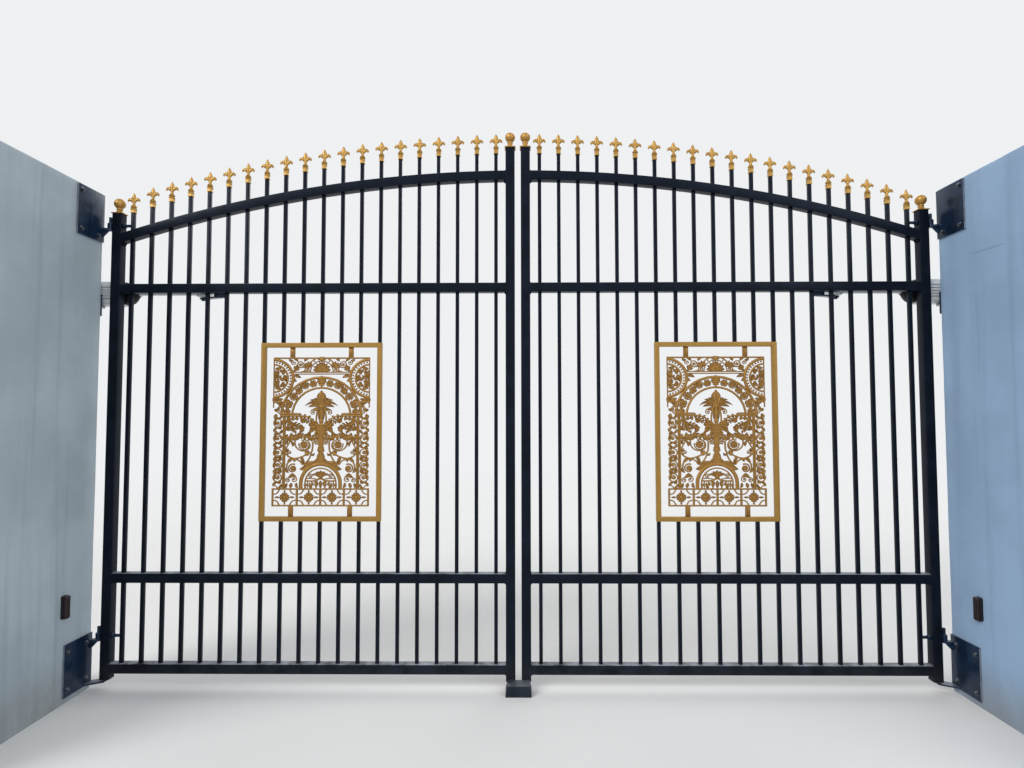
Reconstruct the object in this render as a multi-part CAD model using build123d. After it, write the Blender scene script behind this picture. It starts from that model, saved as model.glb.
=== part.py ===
from build123d import *
import os
from math import atan2, cos, degrees, hypot, pi, radians, sin, sqrt

os.makedirs("parts", exist_ok=True)

# Double swing gate with arched top rails, in mm. X runs along the gate, Y inwards, Z up.
# The origin is on the ground, midway between the two leaves.

# Leaf frame
picket_count = 20
picket_pitch = 105.0
picket_size = 19.0
stile_size = 50.0
stile_wall = 3.0
rail_size = 50.0
rail_wall = 2.0
meeting_gap = 33.0
ground_clearance = 48.0
hinge_stile_rise = 110.0
meeting_stile_rise = 129.0

# Rails, each by the height of its underside, and the arch by the height of its top
bottom_rail_rise = 34.0
lower_rail_z = 555.0
upper_rail_z = 2110.0
arch_crown = 2777.0
arch_spring = 2440.0

# Ornament
picket_rise = 100.0
finial_height = 113.0
finial_width = 70.0
finial_depth = 13.0
finial_socket_height = 27.0
finial_socket_wall = 3.0
finial_socket_depth = 22.0
finial_fit = 0.2
meeting_ball = 51.0
hinge_ball = 58.0
cap_flange = 60.0
cap_flange_height = 6.0
cap_neck_height = 33.0
hinge_cap_neck_height = 23.0

# Cast panel
panel_first = 8
panel_last = 14
panel_bar = 25.0
panel_bar_wall = 1.5
panel_centre_z = 1357.0
casting_width = 523.0
casting_height = 802.0
casting_depth = 12.0
tab_width = 27.0
tab_length = 54.0
tab_spacing = 318.0
tab_depth = 6.0

# Hinges
hinge_reach = 24.0
hinge_to_wall = 42.0
pin_radius = 8.0
pin_fit = 0.05
eye_radius = 15.0
eye_height = 30.0
eye_seat_gap = 0.3
shank_radius = 8.0
shank_hole_gap = 0.3
shank_end = 38.0
nut_across = 24.0
nut_height = 13.0
top_hinge_drop = 65.0
bottom_hinge_rise = 225.0
lug_thickness = 12.0
lug_radius = 16.0
lug_root = 30.0
pin_rise = 48.0
plate_thickness = 8.0
plate_length = 200.0
plate_height = 262.0
top_plate_below = 93.0
bottom_plate_below = 243.0
plate_end_gap = 6.0
rest_lug_gap = 8.0
rest_lug_reach = 44.0

# Walls
wall_thickness = 230.0
wall_length = 1000.0
wall_over_plate = 11.0
wall_edge = 6.0

# Small fittings on the walls and the ground
photocell_width = 36.0
photocell_height = 116.0
photocell_depth = 28.0
photocell_y = -208.0
photocell_z = 486.0
photocell_corner = 7.0
photocell_bevel = 4.0
stop_width = 136.0
stop_taper = 7.0
stop_height = 57.0
stop_depth = 75.0
stop_flange_depth = 60.0
stop_flange_height = 8.0
stop_gap = 0.3
bolt_across = 19.0
bolt_head = 8.0
bolt_sides = 12
round_sides = 16

# Linear rams
ram_rear_x = 95.0
ram_rear_y = 80.0
ram_front_x = 480.0
ram_front_y = 80.0
ram_over_rail = 20.0
ram_pin_radius = 6.0
ram_pin_depth = 60.0
ram_housing_tail = 25.0
ram_housing_length = 150.0
ram_housing_width = 84.0
ram_housing_height = 134.0
ram_housing_drop = 8.0
ram_housing_corner = 14.0
ram_collar_end = 222.0
ram_tube_end = 622.0
ram_tube_radius = 17.0
ram_tube_socket = 20.0
ram_end_block = 14.0
ram_end_block_size = 44.0
ram_traveller_length = 50.0
ram_traveller_width = 50.0
ram_traveller_height = 52.0
ram_fork_gap = 5.0
ram_fork_thickness = 8.0
ram_fork_radius = 18.0
ram_base_offset = 125.0
ram_base_length = 76.0
ram_base_thickness = 6.0
ram_wall_base_width = 104.0
ram_wall_base_height = 120.0
ram_wall_base_thickness = 8.0
ram_shelf_gap = 1.0
ram_shelf_thickness = 10.0
ram_shelf_radius = 20.0

# Derived places
hinge_stile_top = arch_spring + hinge_stile_rise
meeting_stile_top = arch_crown + meeting_stile_rise
bottom_rail_z = ground_clearance + bottom_rail_rise
top_hinge_z = hinge_stile_top - top_hinge_drop
bottom_hinge_z = ground_clearance + bottom_hinge_rise
top_plate_z = top_hinge_z - top_plate_below
bottom_plate_z = bottom_hinge_z - bottom_plate_below
wall_height = top_plate_z + plate_height + wall_over_plate
panel_half_height = casting_height / 2 + tab_length + panel_bar
panel_bottom = panel_centre_z - panel_half_height
panel_top = panel_centre_z + panel_half_height
ram_z = upper_rail_z + ram_over_rail
leaf_width = 2 * stile_size + picket_count * picket_pitch
meeting_x = meeting_gap / 2
inner_x = meeting_x + stile_size
hinge_inner_x = inner_x + picket_count * picket_pitch
hinge_outer_x = meeting_x + leaf_width
axis_x = hinge_outer_x + hinge_reach
wall_x = axis_x + hinge_to_wall
plate_x = wall_x - plate_thickness
wall_end_y = plate_end_gap
half_stile = stile_size / 2
half_rail = rail_size / 2


def box(x0, x1, y0, y1, z0, z1):
    """A box between two corners."""
    mid = ((x0 + x1) / 2, (y0 + y1) / 2, (z0 + z1) / 2)
    return Pos(*mid) * Box(abs(x1 - x0), abs(y1 - y0), abs(z1 - z0))


def tube_x(x0, x1, z0, size, wall):
    """A square tube along X, with its underside at z0."""
    outer = box(x0, x1, -size / 2, size / 2, z0, z0 + size)
    inner = box(x0, x1, -size / 2 + wall, size / 2 - wall, z0 + wall, z0 + size - wall)
    return outer - inner


def tube_z(x, z0, z1, size, wall, y=0.0):
    """A square tube along Z about the line (x, y)."""
    outer = box(x - size / 2, x + size / 2, y - size / 2, y + size / 2, z0, z1)
    half = size / 2 - wall
    return outer - box(x - half, x + half, y - half, y + half, z0, z1)


def rod(radius, start, end, bore=False):
    """A round bar between two points, or the bore for one, kept to sixteen sides."""
    start = Vector(*start)
    end = Vector(*end)
    plane = Plane(origin=start, z_dir=end - start)
    return extrude(plane * RegularPolygon(radius, round_sides, major_radius=not bore), (end - start).length)


def hexagon(across, x, y, z, height):
    """A hexagonal head standing on (x, y, z)."""
    return extrude(Pos(x, y, z) * RegularPolygon(across / 2, 6, major_radius=False), height)


# The leaf is drawn on the +X side of the centre line and mirrored for the other one.


def picket_x(number):
    """The place of a picket, counted from the hinge."""
    return inner_x + (picket_count - number + 0.5) * picket_pitch


picket_numbers = range(1, picket_count + 1)
arch_half = hinge_inner_x
arch_sag = arch_crown - arch_spring
arch_radius = (arch_half ** 2 + arch_sag ** 2) / (2 * arch_sag)
arch_centre_z = arch_crown - arch_radius


def arch_z(x, radius=arch_radius):
    """The height of the arch at x."""
    return arch_centre_z + sqrt(radius ** 2 - x ** 2)


def straight_rail(z0):
    """A straight rail welded between the stiles."""
    return tube_x(inner_x, hinge_inner_x, z0, rail_size, rail_wall)


def arch_band(inset):
    """The side outline of the arched rail, taken in by inset."""
    outer = arch_radius - inset
    inner = arch_radius - rail_size + inset
    ring = Pos(0, arch_centre_z) * (Circle(outer) - Circle(inner))
    low = arch_z(hinge_inner_x, inner) - 50
    window = Pos((inner_x + hinge_inner_x) / 2, (low + arch_crown + 50) / 2)
    window = window * Rectangle(hinge_inner_x - inner_x, arch_crown + 50 - low)
    return Plane.XZ * (ring & window)


def arched_rail():
    """The bowed top rail, a square tube rolled to one radius."""
    rail = extrude(arch_band(0), half_rail, both=True)
    return rail - extrude(arch_band(rail_wall), half_rail - rail_wall, both=True)


def picket_top(number):
    """The top of a picket, inside its finial."""
    return arch_z(picket_x(number)) + picket_rise + finial_socket_depth


def pickets():
    """All the pickets of one leaf, cut between the rails and round the cast panel."""
    foot = bottom_rail_z + rail_size
    half = picket_size / 2
    gaps = [box(inner_x, hinge_inner_x, -half_rail, half_rail, z0, z0 + rail_size)
            for z0 in (lower_rail_z, upper_rail_z)]
    gaps.append(extrude(arch_band(0), half_rail, both=True))
    gaps.append(box(panel_centre_x - panel_half, panel_centre_x + panel_half, -half_rail, half_rail,
                    panel_bottom, panel_top))
    bars = []
    for n in picket_numbers:
        x = picket_x(n)
        bars.extend((box(x - half, x + half, -half, half, foot, picket_top(n)) - gaps).solids())
    return Compound(children=bars)


# Fleur-de-lis finial, drawn upright about its own axis


def finial():
    """One cast finial: a socket, a collar, two drooping leaves and a pointed middle leaf."""
    h = finial_height
    w = finial_width / 2
    low = finial_socket_height
    half = picket_size / 2 + finial_socket_wall
    base = (Align.CENTER, Align.CENTER, Align.MIN)
    socket = Box(2 * half, 2 * half, low + 1, align=base)
    edge = [(0.48 * w, low), (0.48 * w, 0.38 * h), (0.18 * w, 0.44 * h), (0.66 * w, 0.67 * h),
            (w, 0.57 * h), (0.78 * w, 0.78 * h), (0.25 * w, 0.70 * h)]
    outline = Polyline((0, low), *edge, (0, h), *[(-x, z) for x, z in reversed(edge)], close=True)
    flower = extrude(Plane.XZ * make_face(outline), finial_depth / 2, both=True)
    well = picket_size + 2 * finial_fit
    return socket + flower - Box(well, well, finial_socket_depth, align=base)


def finials():
    """One finial on each picket."""
    one = finial()
    places = [(picket_x(n), 0, picket_top(n) - finial_socket_depth) for n in picket_numbers]
    return Compound(children=[Pos(*p) * one for p in places])


def ball(radius):
    """A cast ball, kept to ten sides round and twelve from pole to pole so that the gate has few facets."""
    slab = extrude(Plane.XZ * RegularPolygon(radius, 12), radius, both=True)
    solid = slab
    for step in range(1, 5):
        solid = solid & (Rot(0, 0, 36 * step) * slab)
    return solid


def ball_cap(diameter, neck):
    """A cast cap: a square flange, a waisted neck and a ball."""
    r = diameter / 2
    z0 = cap_flange_height
    base = (Align.CENTER, Align.CENTER, Align.MIN)
    flange = Box(cap_flange, cap_flange, z0, align=base)
    foot = Pos(0, 0, z0) * extrude(RegularPolygon(0.75 * r, 12), 0.3 * neck)
    throat = Pos(0, 0, z0) * extrude(RegularPolygon(0.48 * r, 12), neck + 0.3 * r)
    return flange + foot + throat + Pos(0, 0, z0 + neck + r) * ball(r)


def ball_caps():
    """The caps of both stiles of one leaf."""
    meeting = Pos(meeting_x + half_stile, 0, meeting_stile_top) * ball_cap(meeting_ball, cap_neck_height)
    hinge = Pos(hinge_outer_x - half_stile, 0, hinge_stile_top) * ball_cap(hinge_ball, hinge_cap_neck_height)
    return Compound(children=[meeting, hinge])


# Cast panel


panel_centre_x = (picket_x(panel_first) + picket_x(panel_last)) / 2
panel_half = (picket_x(panel_first) - picket_x(panel_last)) / 2 + panel_bar / 2


def panel_frame():
    """The square tube frame round the casting, mitred and welded."""
    x0 = panel_centre_x - panel_half
    x1 = panel_centre_x + panel_half
    half = panel_bar / 2
    outer = box(x0, x1, -half, half, panel_bottom, panel_top)
    outer = outer - box(x0 + panel_bar, x1 - panel_bar, -half, half, panel_bottom + panel_bar, panel_top - panel_bar)
    w = panel_bar_wall
    bore = box(x0 + w, x1 - w, -half + w, half - w, panel_bottom + w, panel_top - w)
    inner = panel_bar - w
    bore = bore - box(x0 + inner, x1 - inner, -half, half, panel_bottom + inner, panel_top - inner)
    return outer - bore


def flat(points):
    """A flat form from its corners on a sheet of 512 by 816, fitted to the casting's real size."""
    across = casting_width / 512
    upright = casting_height / 816
    return make_face(Polyline(*[(x * across, z * upright) for x, z in points], close=True))


def disc(x, z, radius, sides):
    """A round with flat sides."""
    turns = [2 * pi * i / sides for i in range(sides)]
    return flat([(x + radius * cos(t), z + radius * sin(t)) for t in turns])


def ring(x, z, outer, inner, sides):
    """A flat ring with flat sides."""
    return disc(x, z, outer, sides) - disc(x, z, inner, sides)


def boss(x, z, wide, high):
    """The plain round that a rosette or a scroll eye is cut from."""
    points = [(wide, 0), (0.55 * wide, high), (-0.55 * wide, high)]
    points = points + [(-a, -b) for a, b in points]
    return flat([(x + a, z + b) for a, b in points])


def rib(x0, z0, x1, z1):
    """A straight rib between two corners."""
    return flat([(x0, z0), (x1, z0), (x1, z1), (x0, z1)])


def casting_frame():
    """The straight ribs of half the casting: bars, columns, capitals and the bottom band."""
    ribs = rib(0, 400, 256, 408) + rib(0, -408, 256, -400) + rib(0, -320, 256, -310)
    ribs += rib(0, 298, 160, 310) + rib(190, -315, 204, 90) + rib(114, 82, 211, 98)
    ribs += rib(250, 132, 256, 408) + rib(190, 156, 256, 166)
    return ribs + rib(246, -408, 256, -315) + rib(119, -408, 129, -315)


def casting_arches():
    """The large double arch, the small arch below it and the two half rings at the sides."""
    arches = (ring(0, 85, 220, 207, 16) + ring(0, 85, 157, 145, 16)) & rib(0, 85, 256, 341)
    arches += (ring(256, 292, 111, 98, 12) + ring(256, 292, 81, 72, 12)) & rib(0, 170, 256, 408)
    arches += ring(0, -286, 114, 88, 12) & rib(0, -286, 256, 0)
    return arches + rib(92, -315, 112, -282)


def casting_stem():
    """Half of the candelabrum in the middle: foot, urn, arms, leaves and flame."""
    stem = flat([(0, -178), (38, -174), (12, -144), (12, -84), (30, -10), (34, 36), (8, 36), (8, 66), (118, 66),
                 (118, 80), (34, 84), (92, 146), (64, 166), (12, 138), (24, 176), (0, 226)])
    flower = flat([(0, -203), (14, -215), (30, -240), (20, -262), (27, -315), (0, -315)])
    return stem + rib(0, 210, 5, 300) + flower


def casting_scrolls():
    """Half of the rosettes and scrolls, each as the plain form it is carved from."""
    scrolls = boss(156, 290, 16, 18) + boss(216, 290, 24, 24) + rib(166, 284, 256, 296)
    for angle in (26, 53):
        scrolls += boss(186 * cos(radians(angle)), 85 + 186 * sin(radians(angle)), 26, 26)
    for z in (116, 42, -32, -106, -180, -254):
        scrolls += boss(226, z, 30, 38)
    scrolls += boss(101, -75, 38, 36) + rib(10, -76, 196, -66)
    scrolls += boss(150, -200, 34, 34) + rib(144, -200, 200, -190) + rib(102, -290, 200, -280)
    scrolls += flat([(0, 305), (24, 305), (64, 352), (62, 404), (0, 404)])
    return scrolls + boss(61, -360, 36, 44) + boss(188, -360, 36, 44)


def casting_outline():
    """The openwork of the casting: half of it is drawn and the other half mirrored."""
    half = casting_frame() + casting_arches() + casting_stem() + casting_scrolls()
    return half + mirror(half, about=Plane.YZ)


def panel_casting():
    """The openwork casting with its four fixing tabs."""
    h = casting_height / 2
    solid = extrude(Plane.XZ * casting_outline(), casting_depth / 2, both=True)
    solid = Pos(panel_centre_x, 0, panel_centre_z) * solid
    tabs = []
    for side in (-1, 1):
        x = panel_centre_x + side * tab_spacing / 2
        low = panel_bottom + panel_bar
        high = panel_top - panel_bar
        depth = tab_depth / 2
        tabs.append(box(x - tab_width / 2, x + tab_width / 2, -depth, depth, low, panel_centre_z - h + 4))
        tabs.append(box(x - tab_width / 2, x + tab_width / 2, -depth, depth, panel_centre_z + h - 4, high))
    return solid + tabs


# Hinges


def stile_with_holes(x0, top, hinge_side):
    """A stile, drilled for the eye bolts on the hinge side."""
    stile = tube_z(x0 + half_stile, ground_clearance, top, stile_size, stile_wall)
    if hinge_side:
        for z in (top_hinge_z, bottom_hinge_z):
            side = Plane(origin=(x0 - 1, 0, z), z_dir=(1, 0, 0))
            hole = RegularPolygon(shank_radius + shank_hole_gap, bolt_sides, major_radius=False)
            stile = stile - extrude(side * hole, stile_size + 2)
    return stile


def shank(z, end_x):
    """The bolt's shank along X, cut at the eye."""
    side = Plane(origin=(hinge_inner_x - shank_end, 0, z), z_dir=(1, 0, 0))
    return extrude(side * RegularPolygon(shank_radius, bolt_sides), end_x - (hinge_inner_x - shank_end))


def eye_bolt(z):
    """An eye on a threaded shank that passes through the stile."""
    eye = Pos(axis_x, 0, z) * extrude(RegularPolygon(eye_radius, 16), eye_height / 2, both=True)
    bore = rod(pin_radius + pin_fit, (axis_x, 0, z - eye_height), (axis_x, 0, z + eye_height), bore=True)
    return eye + shank(z, axis_x - pin_radius - 2) - bore


def eye_bolts():
    """The top and bottom eye bolts of one leaf."""
    return Compound(children=[eye_bolt(z) for z in (bottom_hinge_z, top_hinge_z)])


def eye_nuts():
    """The locking nut of each eye bolt, on the inner side of the stile."""
    solids = []
    for z in (bottom_hinge_z, top_hinge_z):
        side = Plane(origin=(hinge_inner_x, 0, z), z_dir=(-1, 0, 0))
        nut = extrude(side * RegularPolygon(nut_across / 2, 6, major_radius=False), nut_height)
        solids.append(nut - shank(z, axis_x - pin_radius - 2))
    return Compound(children=solids)


def lug(z0, radius, reach_y):
    """A welded lug from the wall plate round the hinge axis."""
    tip = Pos(axis_x, 0) * RegularPolygon(radius, 16)
    root = Pos(plate_x - 0.5, -reach_y / 2) * Rectangle(1, reach_y)
    outline = make_hull(tip.edges() + root.edges())
    return extrude(Pos(0, 0, z0) * outline, lug_thickness)


def hinge_plate(plate_z, hinge_z):
    """A wall plate with the lug and the upright pin welded to it."""
    plate = box(plate_x, wall_x, -plate_length, 0, plate_z, plate_z + plate_height)
    seat = hinge_z - eye_height / 2 - eye_seat_gap
    plate = plate + lug(seat - lug_thickness, lug_radius, lug_root)
    web_low = seat - lug_thickness - 40
    web = Plane.XZ * make_face(Polyline((plate_x, seat - lug_thickness), (axis_x - 4, seat - lug_thickness),
                                        (plate_x, web_low), close=True))
    plate = plate + Pos(0, -8, 0) * extrude(web, 8)
    plate = plate + rod(pin_radius, (axis_x, 0, seat - lug_thickness), (axis_x, 0, hinge_z + pin_rise))
    return plate


def rest_lug():
    """The low lug of the bottom plate, just under the foot of the stile."""
    high = ground_clearance - rest_lug_gap
    outline = Polyline((plate_x, -60), (plate_x, 0), (axis_x, lug_radius), (axis_x - rest_lug_reach, lug_radius),
                       (axis_x - rest_lug_reach, -lug_radius), close=True)
    return extrude(Pos(0, 0, high - 8) * make_face(outline), 8)


def hinge_plates():
    """The top and bottom wall plates of one side."""
    top = hinge_plate(top_plate_z, top_hinge_z)
    bottom = hinge_plate(bottom_plate_z, bottom_hinge_z) + rest_lug()
    return Compound(children=[bottom, top])


def wall():
    """One rendered masonry wall, with a soft edge on top."""
    solid = box(wall_x, wall_x + wall_thickness, wall_end_y - wall_length, wall_end_y, 0, wall_height)
    return chamfer(solid.edges().group_by(Axis.Z)[-1], wall_edge)


def photocell():
    """A small surface-mounted sensor with rounded corners and a bevelled front."""
    solid = box(wall_x - photocell_depth, wall_x, photocell_y - photocell_width / 2,
                photocell_y + photocell_width / 2, photocell_z - photocell_height / 2,
                photocell_z + photocell_height / 2)
    solid = chamfer(solid.edges().filter_by(Axis.X), photocell_corner)
    return chamfer(solid.faces().sort_by(Axis.X)[0].edges(), photocell_bevel)


def floor_stop():
    """The centre stop, screwed to the ground in front of the meeting stiles."""
    back = -half_stile - stop_gap
    front = back - stop_depth
    half = stop_width / 2
    top = half - stop_taper
    outline = Polyline((-half, 0), (half, 0), (top, stop_height), (-top, stop_height), close=True)
    block = Pos(0, back, 0) * extrude(Plane.XZ * make_face(outline), stop_depth)
    front_edge = block.faces().sort_by(Axis.Z)[-1].edges().sort_by(Axis.Y)[0]
    block = chamfer(front_edge, 5)
    flange = box(-half, half, back - 1, back + stop_flange_depth, 0, stop_flange_height)
    return block + flange


# Linear rams, drawn along their own axis from the rear pivot


ram_length = hypot(ram_front_x + ram_rear_x, ram_front_y - ram_rear_y)
ram_angle = degrees(atan2(ram_front_y - ram_rear_y, ram_front_x + ram_rear_x))
ram_open_length = hypot(ram_rear_x - ram_front_y, ram_front_x - ram_rear_y)
ram_open_angle = degrees(atan2(ram_front_x - ram_rear_y, ram_rear_x - ram_front_y))
rear_x = axis_x + ram_rear_x
front_x = axis_x - ram_front_x


def placed_ram(solid):
    """Put a piece drawn along +X from the rear pivot into its place on the +X side."""
    turned = mirror(Rot(0, 0, ram_angle) * solid, about=Plane.YZ)
    return Pos(rear_x, ram_rear_y, ram_z) * turned


housing_low = -ram_housing_height / 2 - ram_housing_drop
housing_high = ram_housing_height / 2 - ram_housing_drop


def ram_housing():
    """The motor housing, bored from below for the rear pin."""
    half_w = ram_housing_width / 2
    body = box(-ram_housing_tail, ram_housing_length, -half_w, half_w, housing_low, housing_high)
    body = chamfer(body.edges().filter_by(Axis.X), ram_housing_corner)
    bore = rod(ram_pin_radius + pin_fit, (0, 0, housing_low - 1), (0, 0, housing_low + ram_pin_depth), bore=True)
    return placed_ram(body - bore)


def ram_collar():
    """The black gear collar between the motor housing and the tube, tapered both ways."""
    x0 = ram_housing_length
    x1 = ram_collar_end
    middle = (x0 + x1) / 2
    wide = 0.46 * ram_housing_width
    narrow = 0.28 * ram_housing_width
    low = 0.93 * housing_low
    high = 0.93 * housing_high
    plan = Polyline((x0, wide), (middle, 0.9 * wide), (x1, narrow), (x1, -narrow), (middle, -0.9 * wide), (x0, -wide),
                    close=True)
    side = Polyline((x0, low), (middle, 0.9 * low), (x1, -narrow), (x1, narrow), (middle, 0.9 * high), (x0, high),
                    close=True)
    body = extrude(make_face(plan), ram_housing_height, both=True)
    body = body & extrude(Plane.XZ * make_face(side), ram_housing_width, both=True)
    return placed_ram(body - rod(ram_tube_radius, (x1 - ram_tube_socket, 0, 0), (x1 + 1, 0, 0)))


def ram_tube():
    """The slim tube that the traveller runs on, with its end block."""
    tube = rod(ram_tube_radius, (ram_collar_end - ram_tube_socket, 0, 0), (ram_tube_end - 2, 0, 0))
    half = ram_end_block_size / 2
    block = box(ram_tube_end - ram_end_block, ram_tube_end, -half, half, -half, half)
    return placed_ram(tube + chamfer(block.edges().filter_by(Axis.X), 6))


def ram_traveller():
    """The sleeve that the screw drives along the tube."""
    x0 = ram_length - ram_traveller_length / 2
    x1 = ram_length + ram_traveller_length / 2
    half_w = ram_traveller_width / 2
    half_h = ram_traveller_height / 2
    sleeve = chamfer(box(x0, x1, -half_w, half_w, -half_h, half_h).edges().filter_by(Axis.X), 6)
    return placed_ram(sleeve - rod(ram_tube_radius + pin_fit, (x0 - 1, 0, 0), (x1 + 1, 0, 0), bore=True))


def ram_wall_bracket():
    """The rear bracket on the end of the wall: a plate, a shelf with a web, and the rear pin."""
    half = ram_wall_base_width / 2
    front = wall_end_y + ram_wall_base_thickness
    top = ram_z + housing_low - ram_shelf_gap
    low = top - ram_shelf_thickness
    middle_z = (top + low) / 2
    base = box(rear_x - half, rear_x + half, wall_end_y, front,
               middle_z - ram_wall_base_height / 2, middle_z + ram_wall_base_height / 2)
    tip = Pos(rear_x, ram_rear_y) * RegularPolygon(ram_shelf_radius, 16)
    root = Pos(rear_x, front - 0.5) * Rectangle(ram_wall_base_width - 20, 1)
    shelf = extrude(Pos(0, 0, low) * make_hull(tip.edges() + root.edges()), ram_shelf_thickness)
    web = Polyline((front, low), (ram_rear_y, low), (front, middle_z - ram_wall_base_height / 2 + 6), close=True)
    web = extrude(Plane.YZ * make_face(web), ram_shelf_thickness / 2, both=True)
    pin = rod(ram_pin_radius, (rear_x, ram_rear_y, low), (rear_x, ram_rear_y, top + ram_pin_depth - 2))
    return base + shelf + Pos(rear_x, 0, 0) * web + pin


def ram_gate_bracket():
    """The front bracket on the back of the upper rail. Its pin is left open for the linkage."""
    inner = ram_traveller_height / 2 + ram_fork_gap
    outer = inner + ram_fork_thickness
    middle = front_x - ram_base_offset
    half = ram_base_length / 2
    front = half_rail + ram_base_thickness
    base = box(middle - half, middle + half, half_rail, front, ram_z - outer, ram_z + outer)
    arms = []
    for z0 in (ram_z + inner, ram_z - outer):
        tip = Pos(front_x, ram_front_y) * RegularPolygon(ram_fork_radius, 12)
        root = Pos(middle, front - 0.5) * Rectangle(2 * half, 1)
        arms.append(extrude(Pos(0, 0, z0) * make_hull(tip.edges() + root.edges()), ram_fork_thickness))
    heads = [hexagon(bolt_across, front_x, ram_front_y, ram_z + outer, bolt_head),
             hexagon(bolt_across, front_x, ram_front_y, ram_z - outer - bolt_head, bolt_head)]
    return base + arms + heads


right_pieces = {
    "wall": wall(),
    "hinge_plates": hinge_plates(),
    "photocell": photocell(),
    "ram_wall_bracket": ram_wall_bracket(),
    "hinge_stile": stile_with_holes(hinge_inner_x, hinge_stile_top, True),
    "meeting_stile": stile_with_holes(meeting_x, meeting_stile_top, False),
    "bottom_rail": straight_rail(bottom_rail_z),
    "lower_rail": straight_rail(lower_rail_z),
    "upper_rail": straight_rail(upper_rail_z),
    "arched_top_rail": arched_rail(),
    "pickets": pickets(),
    "finials": finials(),
    "ball_caps": ball_caps(),
    "panel_frame": panel_frame(),
    "panel_casting": panel_casting(),
    "eye_bolts": eye_bolts(),
    "eye_nuts": eye_nuts(),
    "ram_gate_bracket": ram_gate_bracket(),
    "ram_housing": ram_housing(),
    "ram_collar": ram_collar(),
    "ram_tube": ram_tube(),
    "ram_traveller": ram_traveller(),
}

for name, shape in right_pieces.items():
    export_step(shape, f"parts/right_{name}.step")
    export_step(mirror(shape, about=Plane.YZ), f"parts/left_{name}.step")

export_step(floor_stop(), "parts/floor_stop.step")

print("leaf width", leaf_width, "hinge axis x", axis_x, "wall face x", wall_x)
print("ram rest", round(ram_length, 3), round(ram_angle, 4), "open", round(ram_open_length, 3),
      round(ram_open_angle, 4))
print("ram rear pivot", rear_x, ram_rear_y, "front pivot", front_x, ram_front_y)
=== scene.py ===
from math import cos, hypot, pi, radians, sin, sqrt

import bmesh
import bpy
from mathutils import Matrix, Vector, noise


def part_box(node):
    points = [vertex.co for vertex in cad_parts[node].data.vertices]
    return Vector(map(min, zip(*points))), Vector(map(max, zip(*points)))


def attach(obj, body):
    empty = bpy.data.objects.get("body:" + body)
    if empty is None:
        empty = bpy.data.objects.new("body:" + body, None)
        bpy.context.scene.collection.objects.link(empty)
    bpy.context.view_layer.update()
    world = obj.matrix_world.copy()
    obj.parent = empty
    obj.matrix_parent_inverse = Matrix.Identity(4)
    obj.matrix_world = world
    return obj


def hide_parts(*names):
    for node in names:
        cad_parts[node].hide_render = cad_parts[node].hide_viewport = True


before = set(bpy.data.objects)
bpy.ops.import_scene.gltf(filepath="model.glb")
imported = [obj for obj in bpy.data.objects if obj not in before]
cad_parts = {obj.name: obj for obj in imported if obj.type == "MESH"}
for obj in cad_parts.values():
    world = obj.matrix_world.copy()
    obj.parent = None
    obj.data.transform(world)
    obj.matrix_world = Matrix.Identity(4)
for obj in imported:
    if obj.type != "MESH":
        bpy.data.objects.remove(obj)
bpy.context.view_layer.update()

mm = 0.001


# Walls: two lengths of masonry, rendered and painted a pale blue-grey. They run out from the
# gateway, and the faces that look at each other carry the hinge plates and the photocells.

wall_round = 9 * mm
wall_grid = 45 * mm
wall_waves = 2.2 * mm
waves_per_metre = 3.1
edge_chips_per_metre = 40
# Both walls are one paint. The right wall's colours are bluer and darker than the left's: painted bluish
# shade, as if that wall stood in skylit shade.
wall_paint_and_shade = {"left": (0.40, 0.475, 0.53, 1), "right": (0.275, 0.41, 0.60, 1)}
wall_stain_and_shade = {"left": (0.235, 0.285, 0.325, 1), "right": (0.175, 0.265, 0.40, 1)}
crack_height = 2.25
wall_damp = (0.20, 0.19, 0.165, 1)
wall_sand = (0.25, 0.28, 0.30, 1)
crack_colour = (0.10, 0.11, 0.13, 1)
crack_wander = 0.03
crack_half_width = (0.0008, 0.0028)
crack_begins = (-0.46, -0.40)
crack_ends = (-0.27, -0.22)
beyond_inner_face = 2.3


def node(tree, kind, inputs=None, **settings):
    """Add a node to a tree, choose its settings and feed its sockets."""
    made = tree.nodes.new(kind)
    for key, value in settings.items():
        setattr(made, key, value)
    for key, value in (inputs or {}).items():
        if isinstance(value, bpy.types.NodeSocket):
            tree.links.new(value, made.inputs[key])
        else:
            made.inputs[key].default_value = value
    return made


def calc(operation, *values):
    """One step of arithmetic, in the tree that its values come from."""
    tree = next(value.id_data for value in values if isinstance(value, bpy.types.NodeSocket))
    return node(tree, "ShaderNodeMath", dict(enumerate(values)), operation=operation).outputs[0]


def ramp(value, low, high):
    """A mask that rises from 0 to 1 between two values."""
    inputs = {"Value": value, "From Min": low, "From Max": high}
    return node(value.id_data, "ShaderNodeMapRange", inputs, interpolation_type="SMOOTHSTEP").outputs[0]


def blend(factor, first, second):
    """A colour between two others."""
    inputs = {0: factor, 6: first, 7: second}
    return node(factor.id_data, "ShaderNodeMix", inputs, data_type="RGBA").outputs[2]


def tint(colour, mark, share, over):
    """A colour with some of another laid over it where a mark is."""
    return blend(calc("MULTIPLY", mark, share), colour, over)


def speckled(place, scale, detail, roughness=0.5):
    """A cloudy noise pattern."""
    inputs = {"Vector": place, "Scale": scale, "Detail": detail, "Roughness": roughness}
    return node(place.id_data, "ShaderNodeTexNoise", inputs).outputs[0]


def feed(end, **values):
    """Wire what has been worked out to a node's own sockets."""
    for key, value in values.items():
        end.id_data.links.new(value, end.inputs[key.replace("_", " ")])


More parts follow.
